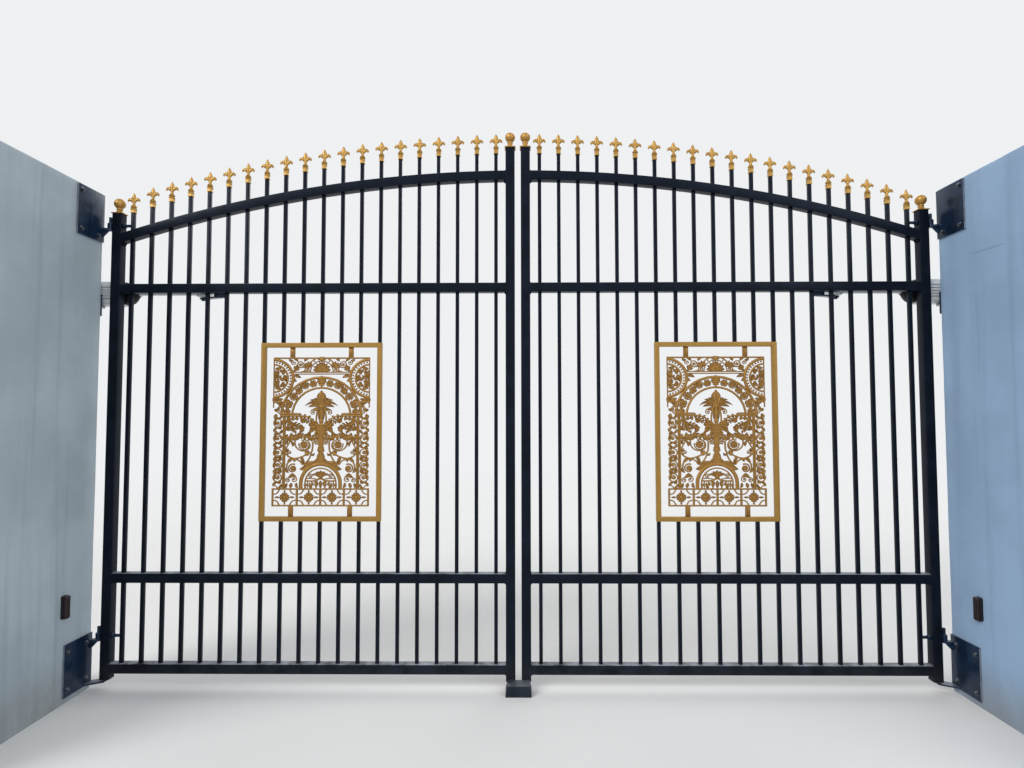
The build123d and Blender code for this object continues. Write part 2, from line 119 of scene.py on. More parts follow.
def tree_with(name, kind, inputs, outputs):
    """A node tree with named sockets, with the ends that are wired up inside it."""
    tree = bpy.data.node_groups.new(name, kind)
    for label, sort, value in inputs:
        socket = tree.interface.new_socket(label, in_out="INPUT", socket_type=sort)
        if value is not None:
            socket.default_value = value
    for label, sort in outputs:
        tree.interface.new_socket(label, in_out="OUTPUT", socket_type=sort)
    return tree, node(tree, "NodeGroupInput").outputs, node(tree, "NodeGroupOutput")


number = "NodeSocketFloat"
weathering, given, result = tree_with(
    "Weathering", "ShaderNodeTree",
    [("Blotch size", number, 0.4), ("Streak width", number, 0.03), ("Splash height", number, 0.25)],
    [("Blotches", number), ("Streaks", number), ("Splash", number), ("Dust", number)])
place = node(weathering, "ShaderNodeTexCoord").outputs["Object"]
normal = node(weathering, "ShaderNodeNewGeometry").outputs["Normal"]
blotches = speckled(place, calc("DIVIDE", 1.0, given["Blotch size"]), 5.0, 0.62)
streak_stretch = (1, 1, 0.035)
drawn_down = node(weathering, "ShaderNodeVectorMath", {0: place, 1: streak_stretch},
                  operation="MULTIPLY").outputs[0]
streaks = speckled(drawn_down, calc("DIVIDE", 1.0, given["Streak width"]), 3.0, 0.55)
height = node(weathering, "ShaderNodeSeparateXYZ", {0: place}).outputs[2]
upward = node(weathering, "ShaderNodeSeparateXYZ", {0: normal}).outputs[2]
low_down = calc("SUBTRACT", 1.0, ramp(height, 0.0, given["Splash height"]))
feed(result, Blotches=ramp(blotches, 0.35, 0.68), Streaks=ramp(streaks, 0.48, 0.75),
     Splash=calc("MULTIPLY", low_down, ramp(blotches, 0.2, 0.6)),
     Dust=calc("MULTIPLY", ramp(upward, 0.5, 0.95), ramp(blotches, 0.25, 0.7)))

grain, given, result = tree_with(
    "Surface grain", "ShaderNodeTree",
    [("Grain size", number, 0.003), ("Wave size", number, 0.15), ("Wave share", number, 0.5)],
    [("Height", number), ("Fine", number)])
place = node(grain, "ShaderNodeTexCoord").outputs["Object"]
fine = speckled(place, calc("DIVIDE", 1.0, given["Grain size"]), 2.0)
waves = speckled(place, calc("DIVIDE", 1.0, given["Wave size"]), 3.0)
waves = calc("MULTIPLY", waves, given["Wave share"])
feed(result, Height=calc("ADD", fine, waves), Fine=ramp(fine, 0.35, 0.7))


def group_in(tree, group, **values):
    """Place one of the shared groups in a material with its own values."""
    placed = node(tree, "ShaderNodeGroup", node_tree=group)
    for key, value in values.items():
        placed.inputs[key.replace("_", " ")].default_value = value
    return placed.outputs


def new_material(name, **plain):
    """A material with its shader's plain values set on the shader's own sockets."""
    material = bpy.data.materials.new(name)
    material.use_nodes = True
    tree = material.node_tree
    shader = tree.nodes["Principled BSDF"]
    for key, value in plain.items():
        shader.inputs[key.replace("_", " ")].default_value = value
    return material, tree, shader


def bump(shader, height, strength, distance):
    """Feed a height to the shader's normal."""
    inputs = {"Height": height, "Strength": strength, "Distance": distance}
    feed(shader, Normal=node(shader.id_data, "ShaderNodeBump", inputs).outputs[0])


def painted_render(side):
    """Painted cement render: a sandy float finish with rain streaks and splashes at its foot; the right
    wall's colours hold painted bluish shade.
    """
    material, tree, shader = new_material(f"painted_render_{side}")
    marks = group_in(tree, weathering, Blotch_size=0.55, Streak_width=0.075, Splash_height=0.3)
    sand = group_in(tree, grain, Grain_size=0.0035, Wave_size=0.12, Wave_share=2.5)
    colour = tint(wall_paint_and_shade[side], marks["Blotches"], 0.45, wall_stain_and_shade[side])
    colour = tint(colour, marks["Streaks"], 0.5, wall_stain_and_shade[side])
    colour = tint(colour, marks["Splash"], 0.6, wall_damp)
    colour = tint(colour, sand["Fine"], 0.10, wall_sand)
    if side == "right":
        place = node(tree, "ShaderNodeTexCoord").outputs["Object"]
        across, along, up = node(tree, "ShaderNodeSeparateXYZ", {0: place}).outputs[:3]
        wander = speckled(place, 9.0, 3.0)
        line = calc("MULTIPLY_ADD", wander, crack_wander, crack_height - crack_wander / 2)
        off_line = calc("ABSOLUTE", calc("SUBTRACT", up, line))
        hairline = calc("SUBTRACT", 1.0, ramp(off_line, *crack_half_width))
        stretch = calc("SUBTRACT", ramp(along, *crack_begins), ramp(along, *crack_ends))
        inner_face = calc("MULTIPLY", calc("LESS_THAN", across, beyond_inner_face), 0.6)
        crack = calc("MULTIPLY", calc("MULTIPLY", hairline, stretch), inner_face)
        colour = blend(crack, colour, crack_colour)
    feed(shader, Base_Color=colour, Roughness=calc("MULTIPLY_ADD", marks["Blotches"], 0.12, 0.72))
    bump(shader, sand["Height"], 0.35, 0.0025)
    return material


def skin(bm, rings, closed=False, material=0):
    """Join rings of points with faces and close the two ends."""
    rows = [[bm.verts.new(point) for point in ring] for ring in rings]
    ends = [] if closed else [rows[0][::-1], rows[-1]]
    for first, second in zip(rows, rows[1:] + rows[:1] if closed else rows[1:]):
        for i in range(len(first)):
            j = (i + 1) % len(first)
            bm.faces.new((first[i], first[j], second[j], second[i])).material_index = material
    for end in ends:
        bm.faces.new(end).material_index = material


def finish_piece(name, bm, materials, body, replaced, sharp=35):
    """Turn the drawn mesh into a piece that rides on its body."""
    bmesh.ops.recalc_face_normals(bm, faces=bm.faces)
    mesh = bpy.data.meshes.new(name)
    bm.to_mesh(mesh)
    bm.free()
    for material in materials:
        mesh.materials.append(material)
    mesh.shade_smooth()
    mesh.set_sharp_from_angle(angle=radians(sharp))
    piece = bpy.data.objects.new(name, mesh)
    bpy.context.scene.collection.objects.link(piece)
    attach(piece, body)
    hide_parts(*replaced)


def rendered_wall(side):
    """A wall with rounded arrises and the slight waves that a float leaves."""
    low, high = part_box(f"{side}_wall")
    bm = bmesh.new()
    bmesh.ops.create_cube(bm, size=1)
    for vert in bm.verts:
        vert.co = Vector(low[i] if vert.co[i] < 0 else high[i] for i in range(3))
    for axis in range(3):
        direction = Vector([float(axis == i) for i in range(3)])
        count = max(2, round((high[axis] - low[axis]) / wall_grid))
        cuts = [low[axis] + (high[axis] - low[axis]) * i / count for i in range(1, count)]
        for step in (0.3, 1.0):
            cuts += [low[axis] + step * wall_round, high[axis] - step * wall_round]
        for cut in cuts:
            everything = bm.verts[:] + bm.edges[:] + bm.faces[:]
            bmesh.ops.bisect_plane(bm, geom=everything, plane_co=direction * cut, plane_no=direction)
    inner_low = low + Vector((wall_round, wall_round, -wall_round))
    inner_high = high - Vector((wall_round,) * 3)
    for vert in bm.verts:
        core = Vector(min(max(vert.co[i], inner_low[i]), inner_high[i]) for i in range(3))
        out = vert.co - core
        if out.length < 1e-9:
            continue
        out.normalize()
        edge = max(abs(v) for v in out) < 0.98
        wave = 0.5 + 0.5 * noise.noise(vert.co * waves_per_metre)
        if edge:
            wave += 0.35 * noise.noise(vert.co * edge_chips_per_metre)
        vert.co = core + out * (wall_round - wall_waves * min(max(wave, 0), 1))
        vert.co.z = max(vert.co.z, 0)
    finish_piece(f"{side}_wall_render", bm, [painted_render(side)], "walls", [f"{side}_wall"], 60)


for side in ("left", "right"):
    rendered_wall(side)


# Hinge plates: thick steel plates bolted to the walls, with a lug, its web and an upright pin
# welded on, all in gloss black. The lowest lug reaches under the foot of the stile.

plate_edge = 1.4 * mm
bolt_across = 19 * mm
bolt_height = 8 * mm
washer = [(13, -0.5), (13, 1.6), (12.2, 2.2), (0.1, 2.2)]
bolt_end = [(5, 8), (5, 13), (4.2, 14), (0.1, 14)]
bolt_places = {"top": ((-176, 234), (-176, 28), (-46, 28)),
               "bottom": ((-180, 222), (-180, 38), (-46, 222), (-46, 38))}
plate_height = 262 * mm
plate_thickness = 8 * mm
axis_x = 2240.5 * mm
eye_heights = (273 * mm, 2485 * mm)
lug_top = -15.3
lug_foot = lug_top - 12
pin = [(6.5, lug_foot - 1), (8, lug_foot + 0.5), (8, 46), (6.4, 48), (0.1, 48)]
navy_dark = (0.0035, 0.005, 0.009, 1)
navy_light = (0.006, 0.0085, 0.016, 1)
pale_dust = (0.34, 0.37, 0.43, 1)
dried_mud = (0.12, 0.11, 0.10, 1)
weld_ripple = 1.1 * mm


def black_paint(name, roughness, coat, sheen, dust, waves, dark=navy_dark, light=navy_light):
    """Black paint with a navy cast: slightly uneven, with pale dust on what faces up."""
    material, tree, shader = new_material(name, Coat_Roughness=0.12, Specular_IOR_Level=sheen,
                                          Specular_Tint=(0.58, 0.74, 1.0, 1))
    marks = group_in(tree, weathering, Blotch_size=0.09, Streak_width=0.02, Splash_height=0.22)
    film = group_in(tree, grain, Grain_size=0.0016, Wave_size=0.035, Wave_share=waves)
    colour = blend(marks["Blotches"], dark, light)
    colour = tint(colour, marks["Dust"], dust, pale_dust)
    colour = tint(colour, marks["Splash"], 0.12, dried_mud)
    uneven = calc("MULTIPLY_ADD", marks["Streaks"], 0.10, roughness)
    feed(shader, Base_Color=colour, Roughness=calc("MULTIPLY_ADD", marks["Dust"], 0.3, uneven),
         Coat_Weight=calc("MULTIPLY_ADD", film["Fine"], -0.15 * coat, coat))
    bump(shader, film["Height"], 0.10, 0.0008)
    return material


hinge_black = black_paint("gloss_black_steel", 0.22, 0.03, 0.35, 0.2, 3.0, (0.005, 0.012, 0.028, 1),
                          (0.008, 0.022, 0.052, 1))
bolt_black = black_paint("gloss_black_bolts", 0.12, 0.9, 0.8, 0.5, 0.6)


def two_tone(name, dark, light, patch_size, roughness, uneven, **plain):
    """A smooth surface whose colour and gloss vary a little over it."""
    material, tree, shader = new_material(name, **plain)
    marks = group_in(tree, weathering, Blotch_size=patch_size, Streak_width=0.01)
    feed(shader, Base_Color=blend(marks["Blotches"], dark, light),
         Roughness=calc("MULTIPLY_ADD", marks["Streaks"], uneven, roughness))
    return material


# The plates' narrow front edges, which look forward along -Y, get a mid grey over the black: a painted
# reflection of bright sky on the gloss paint.
painted_edge_reflection = two_tone("thin_paint_on_cut_edge", (0.10, 0.12, 0.15, 1), (0.19, 0.21, 0.25, 1), 0.05, 0.30, 0.15,
                    Specular_IOR_Level=0.5)


def rounded(width, height, corner, steps=4):
    """The outline of a rectangle with rounded corners."""
    points = []
    for quarter, (sx, sy) in enumerate(((1, 1), (-1, 1), (-1, -1), (1, -1))):
        for i in range(steps + 1):
            turn = (quarter + i / steps) * pi / 2
            points.append((sx * (width / 2 - corner) + corner * cos(turn),
                           sy * (height / 2 - corner) + corner * sin(turn)))
    return points


def turned(bm, profile, placing, steps, closed=False, material=0):
    """A turned form from (radius, height) pairs in mm along its own axis."""
    turns = [2 * pi * i / steps for i in range(steps)]
    rings = [[placing @ (Vector((r * cos(t), r * sin(t), h)) * mm) for t in turns] for r, h in profile]
    skin(bm, rings, closed, material)


def hexagon_head(bm, placing, across, height, material=0):
    """A hexagon head or nut with its corners turned off."""
    corner = across / sqrt(3)
    rings = []
    for level, limit in ((0, corner), (0.86 * height, corner), (height, 0.49 * across)):
        ring = []
        for i in range(24):
            turn = 2 * pi * i / 24
            reach = min(across / 2 / cos(turn % (pi / 3) - pi / 6), limit)
            ring.append(placing @ Vector((reach * cos(turn), reach * sin(turn), level)))
        rings.append(ring)
    skin(bm, rings, material=material)


def weld(bm, start, end, radius):
    """A run of weld along a line: a round bead with the ripple of each pass."""
    start = Vector(start)
    along = Vector(end) - start
    steps = max(2, round(along.length / weld_ripple))
    side = along.normalized().orthogonal()
    up = along.normalized().cross(side)
    turns = [2 * pi * k / 7 for k in range(7)]
    rings = []
    for i in range(steps + 1):
        swell = radius * (0.78 + 0.22 * abs(sin(i * pi / 4)))
        swell *= 0.4 if i in (0, steps) else 1
        centre = start + along * i / steps
        rings.append([centre + (side * cos(t) + up * sin(t)) * swell for t in turns])
    skin(bm, rings)


def both_sides(name, bm, materials, body, replaced, sharp=35):
    """The right piece as drawn, and the left one as its mirror image."""
    other = bm.copy()
    for vert in other.verts:
        vert.co.x = -vert.co.x
    for side, drawn in (("right", bm), ("left", other)):
        finish_piece(f"{side}_{name}", drawn, materials, body.format(side),
                     [f"{side}_{part}" for part in replaced], sharp)


def softened(node_name, edge):
    """A copy of a CAD node with its edges broken, for a shape that is right as it is."""
    bm = bmesh.new()
    bm.from_mesh(bpy.data.objects[node_name].data)
    bmesh.ops.remove_doubles(bm, verts=bm.verts, dist=1e-5)
    bmesh.ops.dissolve_limit(bm, angle_limit=radians(2), verts=bm.verts, edges=bm.edges)
    crisp = [e for e in bm.edges if len(e.link_faces) == 2 and e.calc_face_angle(0) > radians(35)]
    bmesh.ops.bevel(bm, geom=crisp, offset=edge, offset_type="OFFSET", segments=2, profile=0.6,
                    affect="EDGES", clamp_overlap=True)
    return bm


facing_in = Matrix.Rotation(-pi / 2, 4, "Y")
plates = softened("right_hinge_plates", plate_edge)
plates_low, plates_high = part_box("right_hinge_plates")
plate_face = plates_high.x - plate_thickness
plates.normal_update()
# Painted reflection: the plates' edge faces that look forward along -Y take the second, lighter grey
# material.
for face in plates.faces:
    if face.normal.y < -0.9 and face.calc_center_median().x > plate_face:
        face.material_index = 1
for plate_foot, span in ((plates_low.z, "bottom"), (plates_high.z - plate_height, "top")):
    for y, z in bolt_places[span]:
        head = facing_in.copy()
        head.translation = (plate_face, y * mm, plate_foot + z * mm)
        turned(plates, washer, head, 20, material=2)
        hexagon_head(plates, head @ Matrix.Translation((0, 0, 2 * mm)), bolt_across, bolt_height, material=2)
        turned(plates, bolt_end, head, 12, material=2)
for eye_z in eye_heights:
    turned(plates, pin, Matrix.Translation((axis_x, 0, eye_z)), 32)
    for y0, z0, y1, z1, radius in ((-29, lug_top, -1, lug_top, 3), (-29, lug_foot, -1, lug_foot, 3),
                                   (-30, lug_foot, -30, lug_top, 3),
                                   (-8, lug_foot - 4, -8, lug_foot - 38, 2.2)):
        weld(plates, (plate_face, y0 * mm, eye_z + z0 * mm), (plate_face, y1 * mm, eye_z + z1 * mm),
             radius * mm)
both_sides("wall_plates", plates, [hinge_black, painted_edge_reflection, bolt_black], "walls", ["hinge_plates"])


# Photocells: slim sensor boxes screwed to the walls at knee height, moulded in black plastic,
# each with a dark red cover that looks across the gateway at the other.

cell_corner = 8 * mm
cell_low, cell_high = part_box("right_photocell")
cell_width = cell_high.y - cell_low.y
cell_height = cell_high.z - cell_low.z
cell_middle = (cell_low + cell_high) / 2
cell_base_depth = 10.8
cell_steps = ((0.6, 0), (0, 1), (0, 9), (0.8, 10.2), (2.0, 10.6), (2.1, 9.8), (2.8, 9.8), (2.9, 11),
              (1.4, 12), (1.4, 20), (2.4, 24), (4.6, 26.6), (8, 27.6), (13, 28))

cell_plastic, tree, shader = new_material("black_moulded_plastic", Specular_IOR_Level=0.25)
marks = group_in(tree, weathering, Blotch_size=0.05)
film = group_in(tree, grain, Grain_size=0.0009, Wave_size=0.02, Wave_share=0.4)
feed(shader, Base_Color=tint((0.007, 0.007, 0.009, 1), marks["Dust"], 0.5, (0.16, 0.16, 0.16, 1)),
     Roughness=calc("MULTIPLY_ADD", film["Fine"], 0.15, 0.42))
bump(shader, film["Height"], 0.25, 0.0004)

cell_window = two_tone("dark_red_window", (0.008, 0.003, 0.004, 1), (0.016, 0.005, 0.006, 1), 0.06, 0.16,
                       0.12, Coat_Weight=0.2, Coat_Roughness=0.1, Specular_IOR_Level=0.25)

cell = bmesh.new()
rings = []
for inset, depth in cell_steps:
    inset, depth = inset * mm, depth * mm
    outline = rounded(cell_width - 2 * inset, cell_height - 2 * inset, max(cell_corner - inset, 2 * mm), 5)
    rings.append([(cell_high.x - depth, cell_middle.y + a, cell_middle.z + b) for a, b in outline])
skin(cell, rings)
for face in cell.faces:
    face.material_index = int(face.calc_center_median().x < cell_high.x - cell_base_depth * mm)
both_sides("wall_sensor", cell, [cell_plastic, cell_window], "walls", ["photocell"])


# Floor stop: a cast block that both meeting stiles close against, with a flange behind it that
# two countersunk screws hold to the ground. Its black paint is dusty on top.

stop_low, stop_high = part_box("floor_stop")
stop_taper = 7 * mm
stop_back = -25.5 * mm
stop_overlap = 6 * mm
stop_levels = ((0, 0), (30, 0), (51, 0), (54, 0.6), (56, 2.2), (57, 4.6))
stop_screw_x = 42 * mm
stop_screw = [(8, 7), (8, 8.6), (6.8, 9.6), (2.4, 9.9), (2.2, 8.9), (0.1, 8.9)]
stop_paint = black_paint("dusty_black_casting", 0.40, 0.0, 0.15, 0.4, 1.0, (0.003, 0.007, 0.014, 1),
                         (0.005, 0.011, 0.022, 1))
stop_half = (stop_high.x - stop_low.x) / 2
stop = bmesh.new()
rings = []
for level, edge in stop_levels:
    level, edge = level * mm, edge * mm
    half_width = stop_half - stop_taper * level / stop_high.z - edge
    outline = rounded(2 * half_width, stop_back - stop_low.y - edge, 5 * mm, 4)
    rings.append([(a, (stop_low.y + edge + stop_back) / 2 + b, level) for a, b in outline])
skin(stop, rings)
rings = []
for level, inset in ((0, 0), (6.5 * mm, 0), (8 * mm, 1.5 * mm)):
    outline = rounded(2 * (stop_half - inset), stop_high.y - stop_back + stop_overlap - inset, 5 * mm, 4)
    rings.append([(a, (stop_high.y - inset + stop_back - stop_overlap) / 2 + b, level) for a, b in outline])
skin(stop, rings)
for x in (-stop_screw_x, stop_screw_x):
    turned(stop, stop_screw, Matrix.Translation((x, 8 * mm, 0)), 20)
finish_piece("ground_stop", stop, [stop_paint], "walls", ["floor_stop"])


# Stiles and rails: square aluminium tube with small rounded corners, cut, welded and coated in
# satin black. The top rail of each leaf is rolled to a part of one long arch.

tube_corner = 2.6 * mm
arch_radius = 7132.5 * mm
arch_centre = -4355.5 * mm
arch_steps = 72
side_weld = 1.9 * mm
top_weld = 3 * mm
frame_black = black_paint("satin_black_coating", 0.32, 0.02, 0.10, 0.8, 1.2)


def bar(bm, start, end, across, width, height, corner=tube_corner, edge=0.8 * mm, steps=4):
    """A tube or bar between two points, with its long edges rounded and its ends broken."""
    start, end, across = Vector(start), Vector(end), Vector(across)
    along = (end - start).normalized()
    up = along.cross(across)
    rings = []
    for point, inset in ((start, edge), (start + along * edge, 0), (end - along * edge, 0), (end, edge)):
        outline = rounded(width - 2 * inset, height - 2 * inset, max(corner - inset, 0.2 * mm), steps)
        rings.append([point + across * a + up * b for a, b in outline])
    skin(bm, rings)


def joint_welds(bm, x, low, high, half, under=5 * mm):
    """The weld round the end of a rail, where it meets a stile, heaviest underneath."""
    for y in (-half + side_weld, half - side_weld):
        weld(bm, (x, y, low + 2 * mm), (x, y, high - 2 * mm), side_weld)
    for z, size in ((low, under), (high, top_weld)):
        weld(bm, (x, -half + size, z), (x, half - size, z), size)


for name in ("hinge_stile", "meeting_stile"):
    low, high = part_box(f"right_{name}")
    x = (low.x + high.x) / 2
    stile = bmesh.new()
    bar(stile, (x, 0, low.z), (x, 0, high.z), (1, 0, 0), high.x - low.x, high.y - low.y)
    both_sides(f"{name}_tube", stile, [frame_black], "{}_leaf", [name])

for name in ("bottom_rail", "lower_rail", "upper_rail"):
    low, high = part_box(f"right_{name}")
    z = (low.z + high.z) / 2
    rail = bmesh.new()
    bar(rail, (low.x, 0, z), (high.x, 0, z), (0, 1, 0), high.y - low.y, high.z - low.z)
    joint_welds(rail, low.x, low.z, high.z, high.y)
    joint_welds(rail, high.x, low.z, high.z, high.y)
    both_sides(f"{name}_tube", rail, [frame_black], "{}_leaf", [name])


def arch_z(x, radius=arch_radius):
    """The height of the arch at x."""
    return arch_centre + sqrt(radius ** 2 - x ** 2)


low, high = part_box("right_arched_top_rail")
rail_size = high.y - low.y
arch = bmesh.new()
rings = []
for i in range(arch_steps + 1):
    x = low.x + (high.x - low.x) * i / arch_steps
    # Each section stays at one x, because the ends are cut upright.
    rings.append([Vector((x, a, arch_z(x, arch_radius - rail_size / 2 + b)))
                  for a, b in rounded(rail_size, rail_size, tube_corner)])
skin(arch, rings)
joint_welds(arch, low.x, arch_z(low.x, arch_radius - rail_size), arch_z(low.x), high.y, 7 * mm)
joint_welds(arch, high.x, arch_z(high.x, arch_radius - rail_size), arch_z(high.x), high.y, 9 * mm)
both_sides("arched_rail_tube", arch, [frame_black], "{}_leaf", ["arched_top_rail"])


# Pickets: 19 mm square tubes, 20 to a leaf, punched through the rails and welded there. They
# end a hand's breadth above the arch, and seven of them stop at the cast panel.

picket_size = 19 * mm
picket_corner = 1.6 * mm
picket_pitch = 105 * mm
picket_first = 119 * mm
picket_rise = 120 * mm

row, given, result = tree_with(
    "Row under the arch", "GeometryNodeTree",
    [("Geometry", "NodeSocketGeometry", None), ("Count", "NodeSocketInt", 20), ("Pitch", number, 0.1),
     ("First", number, 0.1), ("Foot", number, 0.0), ("Flat top", number, 1.0), ("Follow", number, 1.0),
     ("Rise", number, 0.1), ("Stretch", number, 1.0), ("Arch radius", number, 7.0),
     ("Arch centre", number, -4.0), ("Material", "NodeSocketMaterial", None)],
    [("Geometry", "NodeSocketGeometry")])
index = node(row, "GeometryNodeInputIndex").outputs[0]
x = calc("MULTIPLY_ADD", index, given["Pitch"], given["First"])
under_root = calc("SUBTRACT", calc("POWER", given["Arch radius"], 2.0), calc("POWER", x, 2.0))
on_arch = calc("ADD", calc("ADD", calc("SQRT", under_root), given["Arch centre"]), given["Rise"])
above_flat = calc("SUBTRACT", on_arch, given["Flat top"])
top = calc("MULTIPLY_ADD", above_flat, given["Follow"], given["Flat top"])
length = calc("SUBTRACT", top, given["Foot"])
stands = calc("SUBTRACT", top, calc("MULTIPLY", length, given["Stretch"]))
tall = calc("MULTIPLY_ADD", calc("SUBTRACT", length, 1.0), given["Stretch"], 1.0)
line = node(row, "GeometryNodeMeshLine", {"Count": given["Count"], "Offset": (0, 0, 0)}).outputs[0]
spot = node(row, "ShaderNodeCombineXYZ", {0: x, 2: stands}).outputs[0]
line = node(row, "GeometryNodeSetPosition", {"Geometry": line, "Position": spot}).outputs[0]
size = node(row, "ShaderNodeCombineXYZ", {0: 1.0, 1: 1.0, 2: tall}).outputs[0]
placed = node(row, "GeometryNodeInstanceOnPoints", {"Points": line, "Instance": given["Geometry"],
                                                    "Scale": size}).outputs[0]
real = node(row, "GeometryNodeRealizeInstances", {0: placed}).outputs[0]
real = node(row, "GeometryNodeSetMaterial", {"Geometry": real, "Material": given["Material"]}).outputs[0]
row.links.new(real, result.inputs[0])


def grown(tree, drawn, **sizes):
    """Run a geometry tree on a drawn mesh and hand back the plain mesh that it makes."""
    seed = bpy.data.objects.new(tree.name, bpy.data.meshes.new(tree.name))
    drawn.to_mesh(seed.data)
    bpy.context.scene.collection.objects.link(seed)
    modifier = seed.modifiers.new(tree.name, "NODES")
    modifier.node_group = tree
    for item in tree.interface.items_tree:
        if item.in_out == "INPUT" and item.name.replace(" ", "_") in sizes:
            modifier[item.identifier] = sizes[item.name.replace(" ", "_")]
    seen = seed.evaluated_get(bpy.context.evaluated_depsgraph_get())
    made = bpy.data.meshes.new_from_object(seen)
    seed.modifiers.clear()
    bpy.data.objects.remove(seed)
    return made


one_picket = bmesh.new()
bar(one_picket, (0, 0, 0), (0, 0, 1), (1, 0, 0), picket_size, picket_size, picket_corner, 0.1 * mm, 3)
panel_low, panel_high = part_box("right_panel_frame")
picket_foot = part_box("right_bottom_rail")[1].z - 1 * mm
pickets = bmesh.new()
for before, count, foot, flat_top, follow in ((0, 6, picket_foot, 1.0, 1.0), (13, 7, picket_foot, 1.0, 1.0),
                                              (6, 7, picket_foot, panel_low.z + 1 * mm, 0.0),
                                              (6, 7, panel_high.z - 1 * mm, 1.0, 1.0)):
    first = picket_first + before * picket_pitch
    pickets.from_mesh(grown(row, one_picket, Count=count, Pitch=picket_pitch, First=first, Foot=foot,
                            Flat_top=flat_top, Follow=follow, Rise=picket_rise, Stretch=1.0,
                            Arch_radius=arch_radius, Arch_centre=arch_centre, Material=frame_black))
both_sides("picket_bars", pickets, [frame_black], "{}_leaf", ["pickets"])


# Finials: cast aluminium fleurs-de-lis in gold paint. Each has a square socket that is pushed
# over its picket, a moulded collar, two leaves that droop and a pointed leaf between them.

gold_shade_and_streaks = (0.13, 0.055, 0.012, 1)
gold_dull = (0.25, 0.125, 0.024, 1)
finial_foot = 100 * mm


def gold_paint(name, light, roughness, relief_depth=0):
    """Gold paint on cast metal, with darker streaks; given a relief depth, painted shade darkens the hollows
    while what stands proud stays bright.
    """
    material, tree, shader = new_material(name, Specular_IOR_Level=0.5)
    marks = group_in(tree, weathering, Blotch_size=0.06, Streak_width=0.012)
    film = group_in(tree, grain, Grain_size=0.0011, Wave_size=0.006, Wave_share=0.9)
    colour = tint(light, marks["Blotches"], 0.35, gold_dull)
    if relief_depth:
        # Painted shade: the hollows near the casting's middle plane are darkened towards the darker gold, and
        # what stands proud stays bright.
        place = node(tree, "ShaderNodeTexCoord").outputs["Object"]
        depth = node(tree, "ShaderNodeSeparateXYZ", {0: place}).outputs[1]
        proud = calc("ABSOLUTE", depth)
        hollow_shade = calc("SUBTRACT", 1.0, ramp(proud, 0.25 * relief_depth, 0.8 * relief_depth))
        colour = blend(calc("MULTIPLY", hollow_shade, 0.75), colour, gold_shade_and_streaks)
    colour = tint(colour, marks["Streaks"], 0.25, gold_shade_and_streaks)
    feed(shader, Base_Color=colour, Metallic=calc("MULTIPLY_ADD", marks["Streaks"], -0.2, 0.45),
         Roughness=calc("MULTIPLY_ADD", film["Fine"], 0.18, roughness))
    bump(shader, film["Height"], 0.3, 0.0006)
    return material


finial_gold = gold_paint("gold_painted_finial", (0.42, 0.24, 0.05, 1), 0.32)


def square_socket(bm, foot, corner, levels):
    """A moulded square collar that stands at its foot, from (height, half width) pairs in mm."""
    skin(bm, [[foot + Vector((a, b, level)) * mm for a, b in rounded(2 * half, 2 * half, corner, 3)]
              for level, half in levels])


def carried(bm, place, points, sizes, section, closed=False):
    """A section carried along a line in the XZ plane, from (half width, half depth) pairs."""
    rings = []
    last = len(points) - 1
    for i, ((x, z), (wide, deep)) in enumerate(zip(points, sizes)):
        before = points[i - 1] if closed or i else points[0]
        after = points[(i + 1) % (last + 1)] if closed or i < last else points[last]
        dx, dz = after[0] - before[0], after[1] - before[1]
        side = wide / (hypot(dx, dz) or 1)
        rings.append([place(x - dz * side * u, deep * v, z + dx * side * u) for u, v in section])
    skin(bm, rings, closed)


def in_mm(x, y, z):
    """A point from its sizes in mm."""
    return Vector((x, y, z)) * mm


def petal(points, sizes, sides, ridge):
    """A cast leaf with a ridge along both faces."""
    turns = [2 * pi * k / sides for k in range(sides)]
    section = [(cos(t), sin(t) * (1 + ridge * abs(sin(t)) ** 3) / (1 + ridge)) for t in turns]
    carried(fleur, in_mm, points, sizes, section)


fleur = bmesh.new()
square_socket(fleur, Vector(), 2.2, ((0, 11.6), (0.8, 12.5), (4.5, 12.5), (5.5, 11.7), (21, 11.4),
                                     (22.5, 12.4), (26, 12.5), (27, 11.6)))
turned(fleur, [(9, 25), (9.5, 28), (12, 29.5), (15, 31.5), (16.2, 34), (15.2, 36.5), (12.4, 38.2),
               (11.4, 39.5), (12.6, 41), (11.2, 42.8), (9, 44), (7.8, 47), (7.4, 52), (8.0, 57), (8.4, 61),
               (7, 64)], Matrix.Identity(4), 24)
petal([(0, z) for z in (58, 64, 72, 80, 87, 94, 101, 107, 112.8)],
      [(6, 5.0), (8.0, 6.2), (10.6, 6.8), (12.2, 7.0), (12.2, 6.8), (10.6, 6.0), (7.6, 4.8), (4.0, 3.2),
       (0.4, 0.4)], 12, 0.3)
for side in (-1, 1):
    petal([(side * a, b) for a, b in ((2, 60), (6.5, 66), (11, 71.5), (16.5, 75.5), (22.5, 76.6),
                                      (27.8, 74.6), (31, 70.6), (32, 66.6), (31, 64.2))],
          [(5.0, 4.8), (7.6, 6.0), (9.4, 6.5), (9.8, 6.4), (8.6, 6.0), (6.6, 5.2), (4.6, 4.2), (3.0, 3.0),
           (0.5, 0.6)], 10, 0.2)
    turned(fleur, [(0.2, -3.4), (2.2, -2.8), (3.1, -1), (3.1, 1), (2.2, 2.8), (0.2, 3.4)],
           Matrix.Translation((side * 29 * mm, 0, 65.4 * mm)) @ Matrix.Rotation(pi / 2, 4, "X"), 12)
petal([(-10.4, 62), (-5, 60.6), (0, 60.2), (5, 60.6), (10.4, 62)],
      [(1.2, 2.2), (2.8, 6.0), (3.2, 6.4), (2.8, 6.0), (1.2, 2.2)], 10, 0.1)
finials = bmesh.new()
